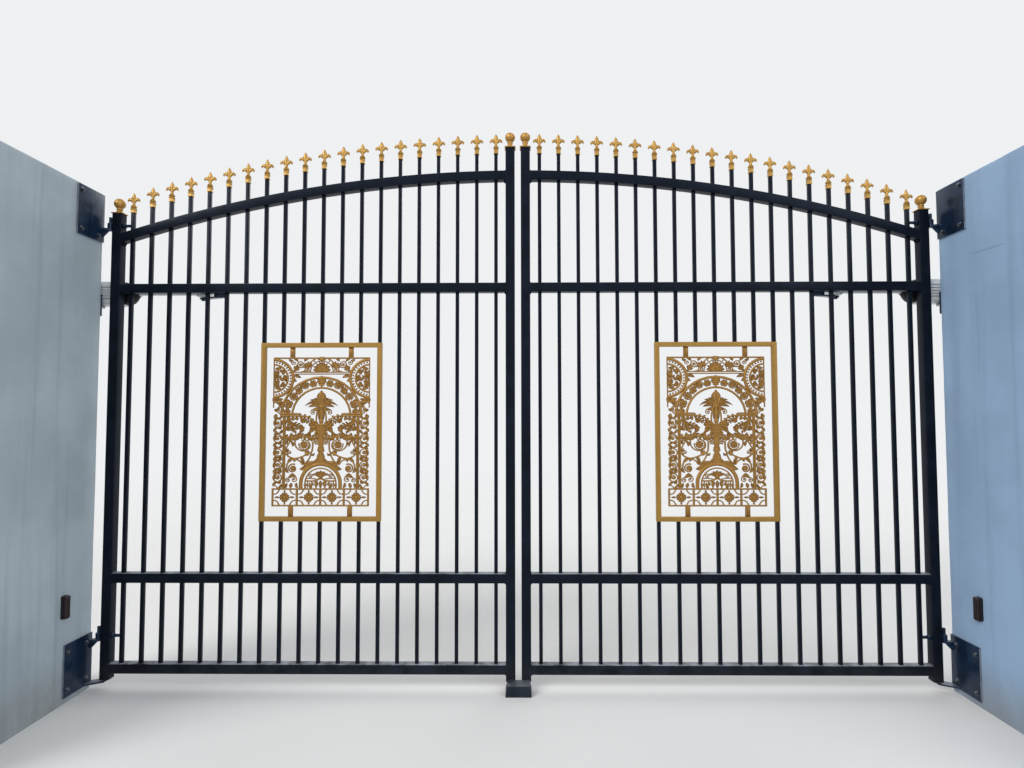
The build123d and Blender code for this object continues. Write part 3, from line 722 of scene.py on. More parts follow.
finials.from_mesh(grown(row, fleur, Count=20, Pitch=picket_pitch, First=picket_first, Foot=0.0, Flat_top=1.0,
                        Follow=1.0, Rise=finial_foot, Stretch=0.0, Arch_radius=arch_radius,
                        Arch_centre=arch_centre, Material=finial_gold))
both_sides("fleur_finials", finials, [finial_gold], "{}_leaf", ["finials"], 40)


# Ball caps: cast aluminium caps that sit on the four stiles and close them, each a square
# flange, a waisted neck and a ball, in gold paint. The hinge stiles have the larger balls.

cap_gold = gold_paint("gold_painted_cap", (0.42, 0.23, 0.048, 1), 0.30)


def ball_cap(bm, x, z, ball, neck):
    """One cap standing on a stile."""
    square_socket(bm, Vector((x, 0, z)), 2.5,
                  ((0, 29), (0.8, 30), (3.6, 30), (4.6, 29), (5.2, 26.5), (6, 25.5)))
    r = ball / 2
    middle = 6 + neck + r
    profile = [(0.80 * r, 5), (0.80 * r, 7), (0.74 * r, 8.2)]
    profile += [(wide * r, 6 + up * neck) for wide, up in ((0.62, 0.28), (0.52, 0.45), (0.49, 0.62),
                                                           (0.56, 0.78), (0.58, 0.86), (0.48, 0.95))]
    profile += [(r * cos(a), middle + r * sin(a)) for a in (radians(-62 + 152 * i / 18) for i in range(18))]
    profile.append((0.3, middle + r))
    turned(bm, profile, Matrix.Translation((x, 0, z)), 36)


caps = bmesh.new()
for name, ball, neck in (("meeting_stile", 55, 29), ("hinge_stile", 58, 23)):
    low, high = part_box(f"right_{name}")
    ball_cap(caps, (low.x + high.x) / 2, high.z, ball, neck)
both_sides("stile_ball_caps", caps, [cap_gold], "{}_leaf", ["ball_caps"], 40)


# Panel frame: 25 mm square tube, mitred and welded round the casting, in gold paint. The seven
# broken pickets end on it above and below, and the ones beside it run into its uprights.

frame_gold = gold_paint("gold_painted_tube", (0.31, 0.175, 0.032, 1), 0.36)
panel_bar = 25 * mm
panel = bmesh.new()
middle = (panel_low + panel_high) / 2
rings = []
for sx, sz in ((1, -1), (1, 1), (-1, 1), (-1, -1)):
    x = middle.x + sx * ((panel_high.x - panel_low.x) / 2 - panel_bar / 2)
    z = middle.z + sz * ((panel_high.z - panel_low.z) / 2 - panel_bar / 2)
    rings.append([Vector((x + sx * a, b, z + sz * a)) for a, b in rounded(panel_bar, panel_bar, 2 * mm, 3)])
skin(panel, rings, closed=True)
both_sides("gold_panel_frame", panel, [frame_gold], "{}_leaf", ["panel_frame"])


# Casting: an openwork panel cast in one piece and painted gold, held in its frame by four tabs.
# Two half rings, a double arch on columns and a small arch hold a candelabrum, scrolls and leaves.

casting_low, casting_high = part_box("right_panel_casting")
casting_centre = (casting_low + casting_high) / 2
drawn_wide, drawn_high = 512, 816
real_wide, real_high = 523, 802
half_ring = (256, 292)
arch_at = (0, 85)
small_arch_at = (0, -283)
palmette_at = (0, 328)
tab_x = 159
tab_root = 396
casting_half_depth = 5.9
strap_swell = 1.28
leaf_swell = 1.3
strap_section = [(-1, -0.3), (-0.62, -0.85), (0, -1), (0.62, -0.85), (1, -0.3),
                 (1, 0.3), (0.62, 0.85), (0, 1), (-0.62, 0.85), (-1, 0.3)]
leaf_section = [(-1, 0), (-0.5, -0.9), (0, -0.5), (0.5, -0.9), (1, 0), (0.5, 0.9), (0, 0.5), (-0.5, 0.9)]
casting_gold = gold_paint("gold_painted_casting", (0.30, 0.155, 0.026, 1), 0.36, casting_half_depth * mm)
casting = bmesh.new()


def on_sheet(x, y, z):
    """A point of the casting, as drawn on a sheet and fitted to its real size."""
    return casting_centre + Vector((x * real_wide / drawn_wide, y, z * real_high / drawn_high)) * mm


def strap(points, width, depth=9, taper=1, closed=False):
    """A cast strap of even width, or one that tapers towards its end. Thick paint rounds it out."""
    half = width * strap_swell / 2
    last = len(points) - 1
    shares = [1 + (taper - 1) * i / last for i in range(last + 1)]
    sizes = [(half * s, depth / 2 * (0.5 + 0.5 * s)) for s in shares]
    carried(casting, on_sheet, points, sizes, strap_section, closed)


def arc(x, z, radius, start, end, steps=None):
    """Points round part of a circle, from one angle to another in degrees."""
    steps = steps or max(4, round(abs(end - start) / 11))
    turns = [radians(start + (end - start) * i / steps) for i in range(steps + 1)]
    return [(x + radius * cos(t), z + radius * sin(t)) for t in turns]


def curve(*points, steps=5):
    """A smooth line through the points given."""
    points = [points[0], *points, points[-1]]
    smooth = []
    for a, b, c, d in zip(points, points[1:], points[2:], points[3:]):
        for i in range(steps):
            t = i / steps
            smooth.append([0.5 * (2 * q + (r - p) * t + (2 * p - 5 * q + 4 * r - s) * t * t
                                  + (3 * q - p - 3 * r + s) * t ** 3) for p, q, r, s in zip(a, b, c, d)])
    return smooth + [points[-1]]


def leaf(x0, z0, x1, z1, width, bow=0.0, depth=9.5):
    """A pointed leaf from its stalk to its tip, bowed sideways, with a groove for its vein."""
    half = width * leaf_swell / 2
    dx, dz = x1 - x0, z1 - z0
    line, sizes = [], []
    for i in range(7):
        t = i / 6
        side = bow * 4 * t * (1 - t)
        line.append((x0 + dx * t - dz * side, z0 + dz * t + dx * side))
        swell = max(sin(pi * min(t * 0.92 + 0.06, 1)) ** 0.8, 0.06)
        sizes.append((half * swell, depth / 2 * (0.45 + 0.55 * swell)))
    carried(casting, on_sheet, line, sizes, leaf_section)


def knob(x, z, radius, depth=11.4, sides=12):
    """A round boss that stands proud on both faces."""
    rings = []
    turns = [2 * pi * k / sides for k in range(sides)]
    for share, level in ((0.08, -1), (0.5, -0.92), (0.85, -0.6), (1, -0.2), (1, 0.2), (0.85, 0.6),
                         (0.5, 0.92), (0.08, 1)):
        rings.append([on_sheet(x + radius * share * cos(t), level * depth / 2, z + radius * share * sin(t))
                      for t in turns])
    skin(casting, rings)


def rosette(x, z, radius, petals=8, turn=0.0):
    """A small flower: petals round a boss."""
    for k in range(petals):
        t = radians(turn) + 2 * pi * k / petals
        leaf(x + 0.22 * radius * cos(t), z + 0.22 * radius * sin(t), x + radius * cos(t), z + radius * sin(t),
             1.9 * radius * sin(pi / petals), 0, 10)
    knob(x, z, 0.34 * radius)


def scroll(x, z, radius, start, turns=1.3, width=4.5, hand=1):
    """A strap that winds in on itself and ends in a boss."""
    steps = round(14 * turns)
    line = []
    for i in range(steps + 1):
        t = i / steps
        r = radius * (1 - 0.68 * t)
        angle = radians(start) + hand * 2 * pi * turns * t
        line.append((x + r * cos(angle), z + r * sin(angle)))
    strap(line, width, 9, 0.6)
    knob(x, z, 0.3 * radius)


def spray(x, z, angle, reach, count, spread, width=None):
    """Leaves that fan out from one point."""
    for k in range(count):
        t = radians(angle + spread * (k / (count - 1) - 0.5))
        long = reach * (1 - 0.25 * abs(k / (count - 1) - 0.5) * 2)
        wide = width or 0.42 * reach * spread / 120 * 5 / count
        leaf(x, z, x + long * cos(t), z + long * sin(t), wide, 0.12 * (k / (count - 1) - 0.5))


def garland(line, size, every=3, width=5.0, taper=0.8):
    """A stem with pairs of small leaves along it."""
    strap(line, width, 9, taper)
    for i in range(1, len(line) - 2, every):
        (x, z), (ax, az) = line[i], line[i + 2]
        dx, dz = ax - x, az - z
        reach = hypot(dx, dz) or 1
        for side in (-1, 1):
            tip_x = x + (dx - side * dz) / reach * size * 0.75
            tip_z = z + (dz + side * dx) / reach * size * 0.75
            leaf(x, z, tip_x, tip_z, 0.5 * size, side * 0.15)


def upright(heights, half_widths, half_depths, section=strap_section):
    """A section carried along the casting's middle line."""
    points = [(0, z) for z in heights]
    carried(casting, on_sheet, points, zip(half_widths, half_depths), section)


# Straight bars of the edge, the band, the capital, the column, the candelabrum and the small arch
for x0, z0, x1, z1, *size in ((0, 404, 254, 404, 7), (254, 407, 254, 130, 5, 7),
                              (172, 162, 256, 162, 9), (0, 326, 158, 326, 5), (0, 316, 152, 316, 5),
                              (0, -314, 256, -314, 7), (0, -404, 256, -404, 7),
                              (252, -404, 252, -314, 8), (124, -404, 124, -314, 9),
                              (112, 97, 211, 97, 8, 11), (118, 86, 208, 86, 8, 10),
                              (191, 82, 191, -311, 5.5, 11), (200, 82, 200, -311, 5.5, 11),
                              (195.5, 84, 195.5, -311, 9, 7), (0, 38, 31, 38, 8, 11),
                              (0, 12, 32, 12, 5, 11), (0, -4, 27, -4, 5, 11), (0, -58, 46, -58, 7, 11),
                              (0, -68, 34, -68, 6, 10), (0, -169, 42, -169, 7, 11),
                              (104, -283, 104, -314, 15, 11), (82, -283, 82, -314, 6, 9),
                              (23, -282, 23, -314, 6, 10), (28, -292, 82, -292, 5, 9)):
    strap([(x0, z0), (x1, z1)], *size)
# Half rings at the sides
strap(arc(*half_ring, 104, 90, 270), 12, 11)
strap(arc(*half_ring, 76, 92, 268), 8)
garland(curve((256, 290), (232, 286), (206, 296), (188, 290)), 20)
scroll(232, 330, 19, 250)
scroll(232, 250, 19, 110, hand=-1)
spray(204, 293, 180, 26, 5, 110)
spray(250, 300, 120, 40, 4, 60)
spray(250, 278, 240, 40, 4, 60)
spray(214, 324, 150, 25, 4, 110)
spray(214, 262, 210, 25, 4, 110)
leaf(248, 348, 216, 356, 16, 0.2)
leaf(248, 236, 216, 228, 16, -0.2)
for x, z in arc(*half_ring, 90, 100, 260, 16):
    knob(x, z, 5.4, 9, 8)
# Leaves between half ring, arch and edge
spray(238, 168, 115, 26, 5, 130)
spray(216, 148, 70, 22, 4, 110)
leaf(204, 178, 236, 150, 15, 0.2)
leaf(246, 196, 250, 152, 14, 0.1)
leaf(152, 302, 110, 294, 14, -0.15)
leaf(156, 300, 132, 276, 15, 0.15)
leaf(164, 262, 154, 240, 13, 0.1)
spray(240, 124, 250, 20, 4, 110)
# Scroll and leaves above the line, between palmette and half ring
scroll(113, 371, 21, 200, 1.5, 6)
spray(64, 352, 60, 40, 4, 80)
spray(140, 340, 120, 30, 4, 90)
leaf(74, 400, 92, 384, 13, 0.2)
leaf(176, 398, 152, 392, 12, 0.2)
strap(curve((96, 329), (88, 345), (92, 362), (97, 378)), 5, 8, 0.8)
leaf(152, 329, 136, 362, 13, 0.15)
leaf(150, 330, 168, 352, 11, -0.15)
leaf(128, 384, 150, 398, 11, 0.2)
leaf(100, 352, 88, 374, 11, 0.2)
scroll(150, 378, 13, 30, 1.2, 4, -1)
strap(curve((60, 329), (74, 335), (92, 332), (110, 329)), 4.5, 8)
# Palmette
strap(arc(*palmette_at, 80, 0, 90), 6)
strap(arc(*palmette_at, 61, 0, 90), 5, 8)
for angle, reach in ((12, 50), (34, 54), (56, 56), (76, 58)):
    t = radians(angle)
    leaf(10 * cos(t), 330 + 10 * sin(t), reach * cos(t), 328 + reach * sin(t), 15, 0.06)
    knob(70.5 * cos(t), 328 + 70.5 * sin(t), 4.6, 8, 8)
# Big double arch with its rosettes
strap(arc(*arch_at, 212, 0, 90), 11, 11)
strap(arc(*arch_at, 155, 0, 90), 9, 11)
for x, z in ((88, 254), (148, 192)):
    rosette(x, z, 17)
    strap(arc(x, z, 20, 0, 345, 22), 4.5, 9, closed=True)
scroll(124, 228, 12, 230, 1.2, 4)
scroll(54, 262, 11, 300, 1.2, 4, -1)
for angle in (76, 49, 20, 6):
    t = radians(angle)
    spray(180 * cos(t), 85 + 180 * sin(t), angle, 26, 6, 230)
leaf(60, 250, 40, 268, 14, -0.2)
leaf(118, 240, 110, 268, 13, 0.2)
leaf(132, 216, 106, 222, 13, 0.2)
leaf(166, 166, 190, 160, 14, 0.2)
leaf(160, 168, 172, 140, 15, -0.2)
leaf(176, 128, 168, 104, 15, 0.2)
leaf(188, 128, 190, 100, 13, -0.2)
# Capitals and columns
leaf(150, 82, 150, 58, 18)
leaf(168, 82, 178, 54, 17)
leaf(134, 82, 124, 60, 15)
leaf(184, 80, 166, 30, 15, -0.15)
garland(curve((188, 62), (170, 44), (150, 30), (140, 10), (150, -6)), 20, 3, 6)
garland(curve((160, 34), (136, 40), (116, 30), (100, 14)), 18)
spray(112, 10, 160, 28, 5, 130)
spray(180, 6, 100, 30, 5, 110)
for z in (60, -60, -180, -290):
    strap([(187, z), (205, z)], 6, 11.4)
# Outer chain of scrolls
for k, z in enumerate((119, 46, -38, -117, -185, -252)):
    x = 209 if k == 0 else 229
    radius = 27 if k == 0 else 25
    strap(arc(x, z, radius - 3, 0, 345, 22), 5.5, 10, closed=True)
    scroll(x, z, radius - 9, 90 + 50 * k, 1.2, 4.5, 1 if k % 2 else -1)
    knob(x, z, 8.5)
    if k:
        spray(x + 6, z + radius - 4, 50, 20, 5, 150, 9)
        spray(x - 8, z - radius + 5, 240, 18, 5, 150, 9)
        leaf(x + 20, z - 12, x + 22, z + 16, 10, 0.3)
for top, low in ((88, 74), (17, -10), (-66, -88), (-145, -157), (-213, -224), (-280, -308)):
    middle_z = (top + low) / 2
    strap(curve((238, top + 8), (250, middle_z + 3), (236, middle_z - 4), (222, low - 6)), 5)
    leaf(232, top, 252, middle_z - 6, 12, 0.2)
    leaf(224, low, 208, middle_z + 8, 12, 0.2)
    knob(246, middle_z, 5, 9, 8)
# Candelabrum: fronds, stem, arms, urn
for x1, z1, wide, bow in ((74, 154, 15, 0.16), (62, 172, 14, 0.2), (70, 134, 14, 0.1), (40, 184, 11, 0.2),
                          (54, 118, 13, -0.1), (88, 140, 11, 0.22)):
    leaf(4, 140, x1, z1, wide, bow)
scroll(44, 104, 15, 150, hand=-1)
leaf(14, 96, 36, 122, 11, 0.2)
strap(curve((7, 160), (16, 124), (24, 96), (26, 66), (24, 40)), 6.5, 10)
leaf(4, 132, 12, 62, 13, 0.03)
garland(curve((118, 84), (92, 84), (64, 77), (46, 58), (31, 39), (0, 38)), 15, 4, 7.5, 0.95)
garland(curve((112, 72), (92, 68), (74, 56), (52, 36), (28, 26)), 15, 3, 6, 0.8)
spray(30, 34, 20, 40, 5, 90, 12)
spray(100, 66, 250, 26, 4, 80, 10)
leaf(22, 30, 60, 4, 15, 0.2)
leaf(26, 12, 66, -14, 15, 0.15)
strap(curve((0, 28), (30, 28), (36, 14), (27, 0), (32, -12), (18, -24), (0, -27)), 6, 11)
# Vine with its node and volute
garland(curve((190, -34), (160, -30), (135, -34), (112, -22), (84, -30), (46, -34), (22, -30)), 20,
        width=8, taper=1)
rosette(135, -34, 17, 6)
spray(70, -30, 110, 28, 4, 90)
spray(46, -34, 300, 24, 4, 100)
spray(168, -36, 280, 26, 4, 90)
leaf(128, -28, 112, 4, 13, 0.2)
leaf(142, -28, 160, -6, 13, -0.2)
strap(curve((135, -38), (138, -60), (132, -84), (112, -102), (88, -106), (66, -96), (58, -78), (64, -58),
            (82, -46), (100, -50)), 6.5, 10, 0.75)
rosette(90, -73, 22, 9)
strap(arc(90, -73, 27, 60, 380, 22), 5)
strap(curve((146, -42), (164, -56), (180, -84), (190, -100)), 6)
leaf(160, -54, 150, -84, 13, -0.2)
leaf(172, -70, 184, -48, 12, -0.2)
scroll(30, -42, 12, 180, 1.1)
# Plate, neck and foot of the candelabrum
strap(curve((44, -60), (44, -84), (49, -111), (73, -123), (93, -135), (132, -148), (160, -142),
            (177, -131), (188, -116)), 7, 10)
knob(73, -123, 11)
spray(73, -123, 100, 24, 4, 100, 10)
leaf(120, -146, 142, -168, 13, 0.2)
scroll(166, -116, 12, 300, 1.2)
strap(curve((50, -112), (56, -136), (66, -156), (84, -176)), 6.5)
leaf(52, -130, 34, -118, 11, 0.2)
strap(curve((0, -86), (13, -88), (13, -98), (16, -103), (13, -108), (9, -116), (11, -134), (22, -152),
            (38, -166)), 6, 10)
leaf(4, -112, 16, -164, 14, 0.05)
leaf(100, -136, 84, -164, 15, 0.2)
leaf(160, -142, 178, -166, 15, -0.2)
spray(182, -112, 100, 24, 4, 90)
# C-scrolls beside the small arch
strap(arc(138, -194, 42, 158, -10), 6.5, 10)
scroll(148, -202, 25, 120, 1.5, 7, -1)
rosette(148, -202, 14, 6)
spray(104, -176, 150, 20, 3, 80, 9)
leaf(180, -196, 168, -226, 13, 0.2)
leaf(150, -228, 172, -250, 15, -0.2)
leaf(150, -228, 128, -246, 15, 0.2)
scroll(140, -262, 17, 60, 1.3, 5, 1)
scroll(172, -266, 14, 120, 1.3, 5, -1)
leaf(126, -280, 118, -308, 13, 0.2)
leaf(150, -282, 158, -310, 15, 0.1)
leaf(176, -282, 182, -310, 12, 0.1)
# Small arch with a flower in it
strap(arc(*small_arch_at, 104, 0, 90), 15, 11)
strap(arc(*small_arch_at, 82, 0, 90), 6)
leaf(18, -168, 100, -176, 24, -0.06, 11)
leaf(60, -176, 112, -206, 22, -0.14, 11)
strap(arc(0, -282, 23, 0, 90), 6, 10)
strap(curve((24, -268), (56, -271), (82, -268)), 7, 10)
for x in (46, 68):
    strap([(x, -270), (x, -314)], 4)
strap(curve((78, -258), (56, -256), (34, -258), (14, -262), (11, -256), (0, -250)), 5)
leaf(4, -246, 26, -222, 13, 0.25)
leaf(6, -250, 44, -236, 13, 0.2)
scroll(52, -244, 13, 180, hand=-1)
garland(curve((20, -276), (44, -286), (66, -292), (84, -300)), 12, 3, 4.5)
leaf(12, -276, 24, -306, 14, 0.1)
leaf(50, -290, 52, -311, 13, 0.1)
# Bottom band with its star flowers
z = -359
for x in (61, 189):
    rosette(x, z, 27, 8, 22.5)
    for side in (-1, 1):
        leaf(x + side * 24, z, x + side * 54, z, 9)
        leaf(x, z + side * 24, x, z + side * 40, 9)
        for up in (-1, 1):
            strap(curve((x + side * 57, z + up * 16), (x + side * 40, z + up * 22),
                        (x + side * 28, z + up * 41)), 5.5)

other_half = casting.copy()
for vert in other_half.verts:
    vert.co.x = 2 * casting_centre.x - vert.co.x
bmesh.ops.reverse_faces(other_half, faces=other_half.faces)
mirrored = bpy.data.meshes.new("other_half")
other_half.to_mesh(mirrored)
casting.from_mesh(mirrored)

# What stands on the middle line
knob(0, 396, 13)
leaf(0, 330, 0, 386, 16)
for x in (-12, 0, 12):
    strap([(x, 329), (x, 353)], 11, 11)
strap([(-22, 354), (22, 354)], 6, 11)
for z in (292, 280, 268, 257):
    half = 21 - abs(z - 275) * 0.35
    strap([(-half, z), (half, z)], 9, 11.4)
spray(0, 300, 270, 52, 5, 70, 14)
strap([(0, 236), (0, 306)], 8)
# Flame on top of the candelabrum
upright((160, 168, 178, 190, 202, 212, 221, 228), [7, 15, 21, 23, 19, 12, 6, 0.6],
        [4, 5, 5.6, 5.9, 5.6, 5, 4, 1], leaf_section)
for x, bow in ((-13, 0.2), (13, -0.2)):
    leaf(0, 160, x, 212, 13, bow, 11)
strap([(0, 168), (0, 34)], 12)
knob(0, 136, 12)
knob(0, 56, 13)
knob(0, 36, 10)
upright((30, 22, 8, -6, -18, -28), [22, 31, 33, 26, 30, 18], [3.4, 4, 4, 4, 4, 3.4])
spray(0, -26, 270, 26, 5, 120, 10)
upright((-30, -44, -56, -66, -76, -88), [24, 18, 15, 13, 14, 12], [4, 5, 5.4, 5.9, 5.4, 4])
upright((-88, -98, -104, -112, -130, -148, -166), [8, 12, 14, 8, 10, 19, 30], [4, 5, 5.6, 5, 5, 5, 4])
leaf(0, -256, 0, -212, 18)
knob(0, -242, 9)
leaf(0, -268, 0, -311, 15)
strap([(0, -404), (0, -314)], 9)

for x in (-tab_x, tab_x):
    for up, end in ((-1, casting_low.z), (1, casting_high.z)):
        start = casting_centre + Vector((x, 0, up * tab_root)) * mm
        bar(casting, start, (start.x, start.y, end), (1, 0, 0), 27 * mm, 6 * mm, 1.2 * mm, 0.5 * mm, 2)
both_sides("openwork_casting", casting, [casting_gold], "{}_leaf", ["panel_casting"], 50)


# Eye bolts: a steel eye on each pin, on a threaded shank that goes through the hinge stile and
# is locked by a nut on its inner side, so that the leaf can be set level.

eye_ring = [(8.1, -14.2), (9, -15), (13.4, -15), (15, -13.4), (15, 13.4), (13.4, 15), (9, 15), (8.1, 14.2)]
thread_root = 7.2
thread_crest = 8
thread_pitch = 1.75
thread_turns = 14
nut_across = 24 * mm
nut_height = 13 * mm
facing_out = Matrix.Rotation(pi / 2, 4, "Y")

shank = [(0.1, 0), (6.6, 0), (thread_root, 0.8)]
for k in range(thread_turns):
    level = 1 + k * thread_pitch
    shank += [(thread_root, level), (thread_crest, level + 0.6), (thread_crest, level + 0.8),
              (thread_root, level + 1.4)]
shank += [(thread_crest, 26), (thread_crest, 98), (10, 100.5), (10, 101.5)]
shank_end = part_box("right_eye_bolts")[0].x
stile_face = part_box("right_eye_nuts")[1].x
eyes = bmesh.new()
nuts = bmesh.new()
for z in eye_heights:
    turned(eyes, eye_ring, Matrix.Translation((axis_x, 0, z)), 32, closed=True)
    turned(eyes, shank, Matrix.Translation((shank_end, 0, z)) @ facing_out, 20)
    hexagon_head(nuts, Matrix.Translation((stile_face, 0, z)) @ facing_in, nut_across, nut_height)
both_sides("hinge_eye_bolts", eyes, [hinge_black], "{}_leaf", ["eye_bolts"])
both_sides("hinge_lock_nuts", nuts, [hinge_black], "{}_leaf", ["eye_nuts"])


# Rams: an electric linear ram behind each upper rail. A pale grey motor housing turns on a pin
# behind the wall, a black collar holds its gears, and a slim tube carries the traveller.

ram_axis = Vector((2335.5, 80, 2130)) * mm
ram_tube_radius = 17
sleeve_bore = 17.4 * mm
rib_face = 41.2
rib_ends = (-2, -86)
anchor_washer = [(11, -0.3), (11, 1.8), (0.1, 1.8)]
anchor_height = 1.8 * mm
anchor_places = [(x, z) for x in (-38, 38) for z in (2009, 2089)]


def on_ram(x, y, z):
    """A place on the ram, in mm from its pin, for what is turned along the ram."""
    return Matrix.Translation(ram_axis + Vector((x, y, z)) * mm) @ facing_out


def ram_loft(bm, stations):
    """Rounded sections along the ram: distance from the pin, width, height, corner, middle height."""
    rings = []
    for along, width, height, corner, lift in stations:
        rings.append([ram_axis + Vector((-along, a, lift + b)) * mm
                      for a, b in rounded(width, height, corner, 5)])
    skin(bm, rings)


def painted_grey(name, colour, second, roughness, metallic):
    """Grey paint or plain metal on the rams, with faint rain marks."""
    material, tree, shader = new_material(name)
    marks = group_in(tree, weathering, Blotch_size=0.08, Streak_width=0.012)
    film = group_in(tree, grain, Grain_size=0.0012, Wave_size=0.02, Wave_share=0.5)
    colour = tint(colour, marks["Blotches"], 0.6, second)
    colour = tint(colour, marks["Dust"], 0.4, (0.34, 0.33, 0.30, 1))
    feed(shader, Base_Color=colour, Roughness=calc("MULTIPLY_ADD", film["Fine"], 0.12, roughness),
         Metallic=calc("MULTIPLY_ADD", marks["Streaks"], -0.15 * metallic, metallic))
    bump(shader, film["Height"], 0.15, 0.0005)
    return material


housing_grey = painted_grey("housing_grey_paint", (0.72, 0.75, 0.77, 1), (0.62, 0.65, 0.67, 1), 0.36, 0.0)
tube_metal = painted_grey("satin_ram_tube", (0.62, 0.63, 0.66, 1), (0.52, 0.53, 0.56, 1), 0.26, 0.7)

housing = bmesh.new()
ram_loft(housing, [(-25, 70, 118, 14, -8), (-24, 76, 126, 17, -8), (-20, 82, 132, 20, -8),
                   (-14, 84, 134, 20, -8), (96, 84, 134, 20, -8), (97, 82.4, 132.4, 19, -8),
                   (98.4, 82.4, 132.4, 19, -8), (99.4, 84, 134, 20, -8), (144, 84, 134, 20, -8),
                   (148.5, 81, 131, 18, -8), (150, 76, 126, 16, -8)])
for y in (-27, 27):
    for z in (-54, 38):
        turned(housing, [(0.1, 0), (3.6, 0), (3.6, -0.2), (0.1, -0.2)], on_ram(25, y, z), 16)
for lift in (-40, -24, -8, 8, 24):
    for y in (-rib_face, rib_face):
        start, end = (ram_axis + Vector((x, y, lift)) * mm for x in rib_ends)
        bar(housing, start, end, (0, 1, 0), 1.6 * mm, 5 * mm, 0.7 * mm, 0.5 * mm, 2)
both_sides("ram_motor_housing", housing, [housing_grey], "{}_ram", ["ram_housing"])

collar = bmesh.new()
ram_loft(collar, [(150, 70, 118, 16, -7), (151, 77, 125, 20, -7), (156, 77, 125, 20, -7),
                  (157, 73, 120, 20, -7), (165, 73, 119, 22, -6.5), (182, 70, 112, 26, -5.5),
                  (196, 64, 92, 28, -4), (207, 56, 66, 26, -2), (214, 50, 53, 24, -0.8),
                  (220, 47, 47, 23, 0), (222, 44, 44, 21.9, 0)])
both_sides("ram_gear_collar", collar, [cell_plastic], "{}_ram", ["ram_collar"])

slim = bmesh.new()
turned(slim, [(ram_tube_radius, -203), (ram_tube_radius, -619)], on_ram(0, 0, 0), 36)
turned(slim, [(ram_tube_radius, -222), (20.5, -222), (20.5, -229), (19.5, -230), (ram_tube_radius, -230)],
       on_ram(0, 0, 0), 36, closed=True)
ram_loft(slim, [(608, 42, 42, 5, 0), (609, 44, 44, 6, 0), (620, 44, 44, 6, 0), (622, 41, 41, 5, 0)])
for y in (-14, 14):
    for z in (-14, 14):
        turned(slim, [(0.1, -622.6), (3.2, -622.6), (3.4, -621.5)], on_ram(0, y, z), 14)
both_sides("ram_slim_tube", slim, [tube_metal], "{}_ram", ["ram_tube"])

sleeve = bmesh.new()
low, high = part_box("right_ram_traveller")
wide, tall = high.y - low.y, high.z - low.z
half = (high.x - low.x) / 2
chamfer = 1.2 * mm
turns = [2 * pi * (i + 0.5) / 24 for i in range(24)]
round_hole = [(sleeve_bore * cos(t), sleeve_bore * sin(t)) for t in turns]
outside = rounded(wide, tall, 6 * mm, 5)
smaller = rounded(wide - 2 * chamfer, tall - 2 * chamfer, 5 * mm, 5)
rings = []
for x, outline in ((half, round_hole), (half, smaller), (half - chamfer, outside), (chamfer - half, outside),
                   (-half, smaller), (-half, round_hole)):
    rings.append([(low + high) / 2 + Vector((x, a, b)) for a, b in outline])
skin(sleeve, rings, closed=True)
both_sides("ram_sleeve", sleeve, [housing_grey], "{}_traveller", ["ram_traveller"])

wall_bracket = softened("right_ram_wall_bracket", 0.9 * mm)
facing_back = Matrix.Rotation(-pi / 2, 4, "X")
for x, z in anchor_places:
    anchor = Matrix.Translation((ram_axis.x + x * mm, 14 * mm, z * mm)) @ facing_back
    turned(wall_bracket, anchor_washer, anchor, 18)
    hexagon_head(wall_bracket, anchor @ Matrix.Translation((0, 0, anchor_height)), 17 * mm, 7 * mm)
both_sides("ram_rear_bracket", wall_bracket, [hinge_black], "walls", ["ram_wall_bracket"])

gate_bracket = softened("right_ram_gate_bracket", 0.9 * mm)
both_sides("ram_front_bracket", gate_bracket, [hinge_black], "{}_leaf", ["ram_gate_bracket"])


# Studio: a plain pale floor under soft light. The camera stands where the photographer stood,
# 3.3 m in front of the gate at eye height.

floor_size = 60
haze_begins, haze_ends = 5.0, 16.0
haze_colour = (0.86, 0.875, 0.89, 1)
sky_light = 0.62
eye_place = (-0.00035, -3.2917, 1.4617)
lens_in_pixels = 610.05
floor_mesh = bmesh.new()
bmesh.ops.create_circle(floor_mesh, cap_ends=True, segments=96, radius=floor_size)
floor_data = bpy.data.meshes.new("studio_floor")
floor_mesh.to_mesh(floor_data)
studio_floor = bpy.data.objects.new("studio_floor", floor_data)
bpy.context.scene.collection.objects.link(studio_floor)
floor_material, tree, shader = new_material("pale_floor", Roughness=0.9, Specular_IOR_Level=0.2)
place = node(tree, "ShaderNodeTexCoord").outputs["Object"]
feed(shader, Base_Color=blend(speckled(place, 1.2, 3.0), (0.69, 0.695, 0.70, 1), (0.72, 0.725, 0.73, 1)))
distance = node(tree, "ShaderNodeVectorMath", {0: place}, operation="LENGTH").outputs["Value"]
far = ramp(distance, haze_begins, haze_ends)
path = node(tree, "ShaderNodeLightPath").outputs
seen = calc("MULTIPLY", far, calc("MAXIMUM", path["Is Camera Ray"], path["Is Glossy Ray"]))
haze = node(tree, "ShaderNodeEmission", {"Color": haze_colour, "Strength": 1.0}).outputs[0]
faded = node(tree, "ShaderNodeMixShader", {0: seen, 1: shader.outputs[0], 2: haze}).outputs[0]
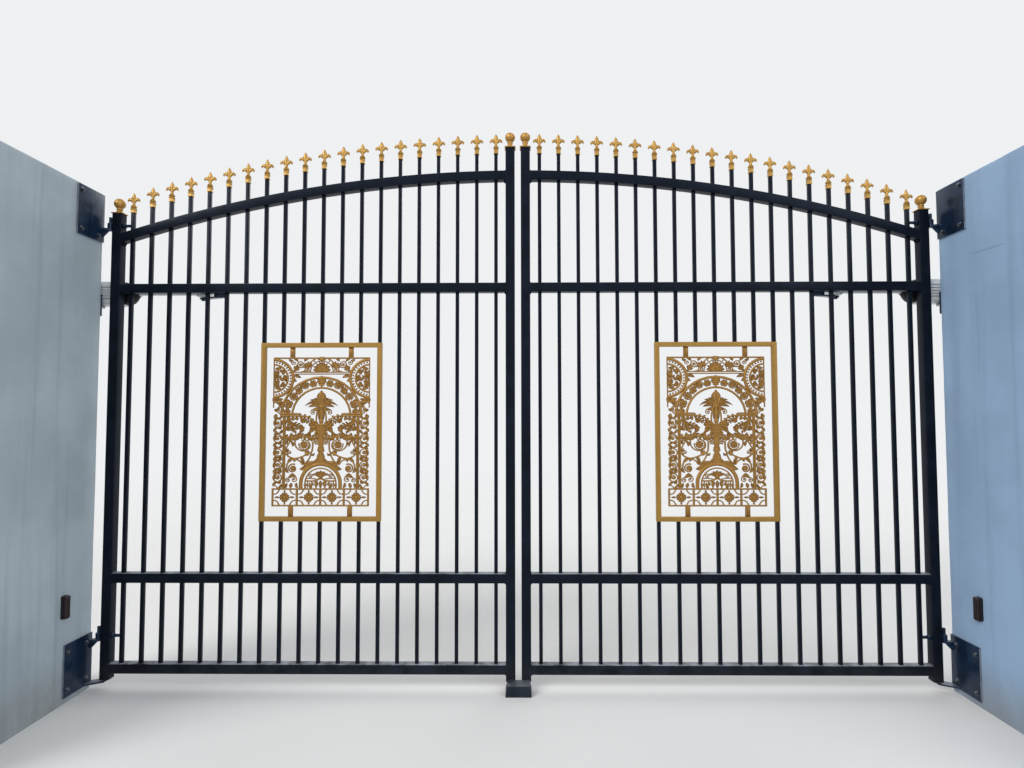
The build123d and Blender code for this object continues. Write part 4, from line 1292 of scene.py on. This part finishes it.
tree.links.new(faded, tree.nodes["Material Output"].inputs["Surface"])
floor_data.materials.append(floor_material)

world = bpy.data.worlds.new("studio")
bpy.context.scene.world = world
world.use_nodes = True
tree = world.node_tree
path = node(tree, "ShaderNodeLightPath").outputs
shown = calc("MAXIMUM", calc("MAXIMUM", path["Is Camera Ray"], path["Is Glossy Ray"]),
             path["Is Transmission Ray"])
background = tree.nodes["Background"]
background.inputs["Color"].default_value = haze_colour
feed(background, Strength=calc("MULTIPLY_ADD", shown, 1 - sky_light, sky_light))


def soft_lamp(name, toward, strength, softness, colour):
    """A broad lamp far off, so that floor and walls are lit evenly, in the direction given."""
    lamp = bpy.data.lights.new(name, "SUN")
    lamp.angle = radians(softness)
    lamp.energy = strength
    lamp.color = colour
    holder = bpy.data.objects.new(name, lamp)
    holder.location = Vector(toward) * 10
    holder.rotation_euler = Vector(toward).to_track_quat("Z", "Y").to_euler()
    bpy.context.scene.collection.objects.link(holder)


soft_lamp("key", (-0.60, -0.60, 0.53), 2.0, 32, (1.0, 0.97, 0.93))
soft_lamp("fill", (0.62, -0.66, 0.42), 1.0, 45, (0.92, 0.96, 1.0))
soft_lamp("back", (0.17, 0.72, 0.67), 0.9, 45, (1.0, 0.98, 0.95))

camera_data = bpy.data.cameras.new("camera")
camera_data.sensor_fit = "HORIZONTAL"
camera_data.sensor_width = 36
camera_data.lens = camera_data.sensor_width * lens_in_pixels / 1024
camera = bpy.data.objects.new("camera", camera_data)
yaw, pitch, roll = radians(-0.564), radians(2.61), radians(-0.076)
ahead = Vector((sin(yaw) * cos(pitch), cos(yaw) * cos(pitch), sin(pitch)))
level_right = Vector((cos(yaw), -sin(yaw), 0))
level_up = level_right.cross(ahead)
right = level_right * cos(roll) + level_up * sin(roll)
up = level_up * cos(roll) - level_right * sin(roll)
facing = Matrix((right, up, -ahead)).transposed().to_4x4()
camera.matrix_world = Matrix.Translation(eye_place) @ facing
bpy.context.scene.collection.objects.link(camera)
bpy.context.scene.camera = camera
bpy.context.scene.view_settings.view_transform = "Standard"
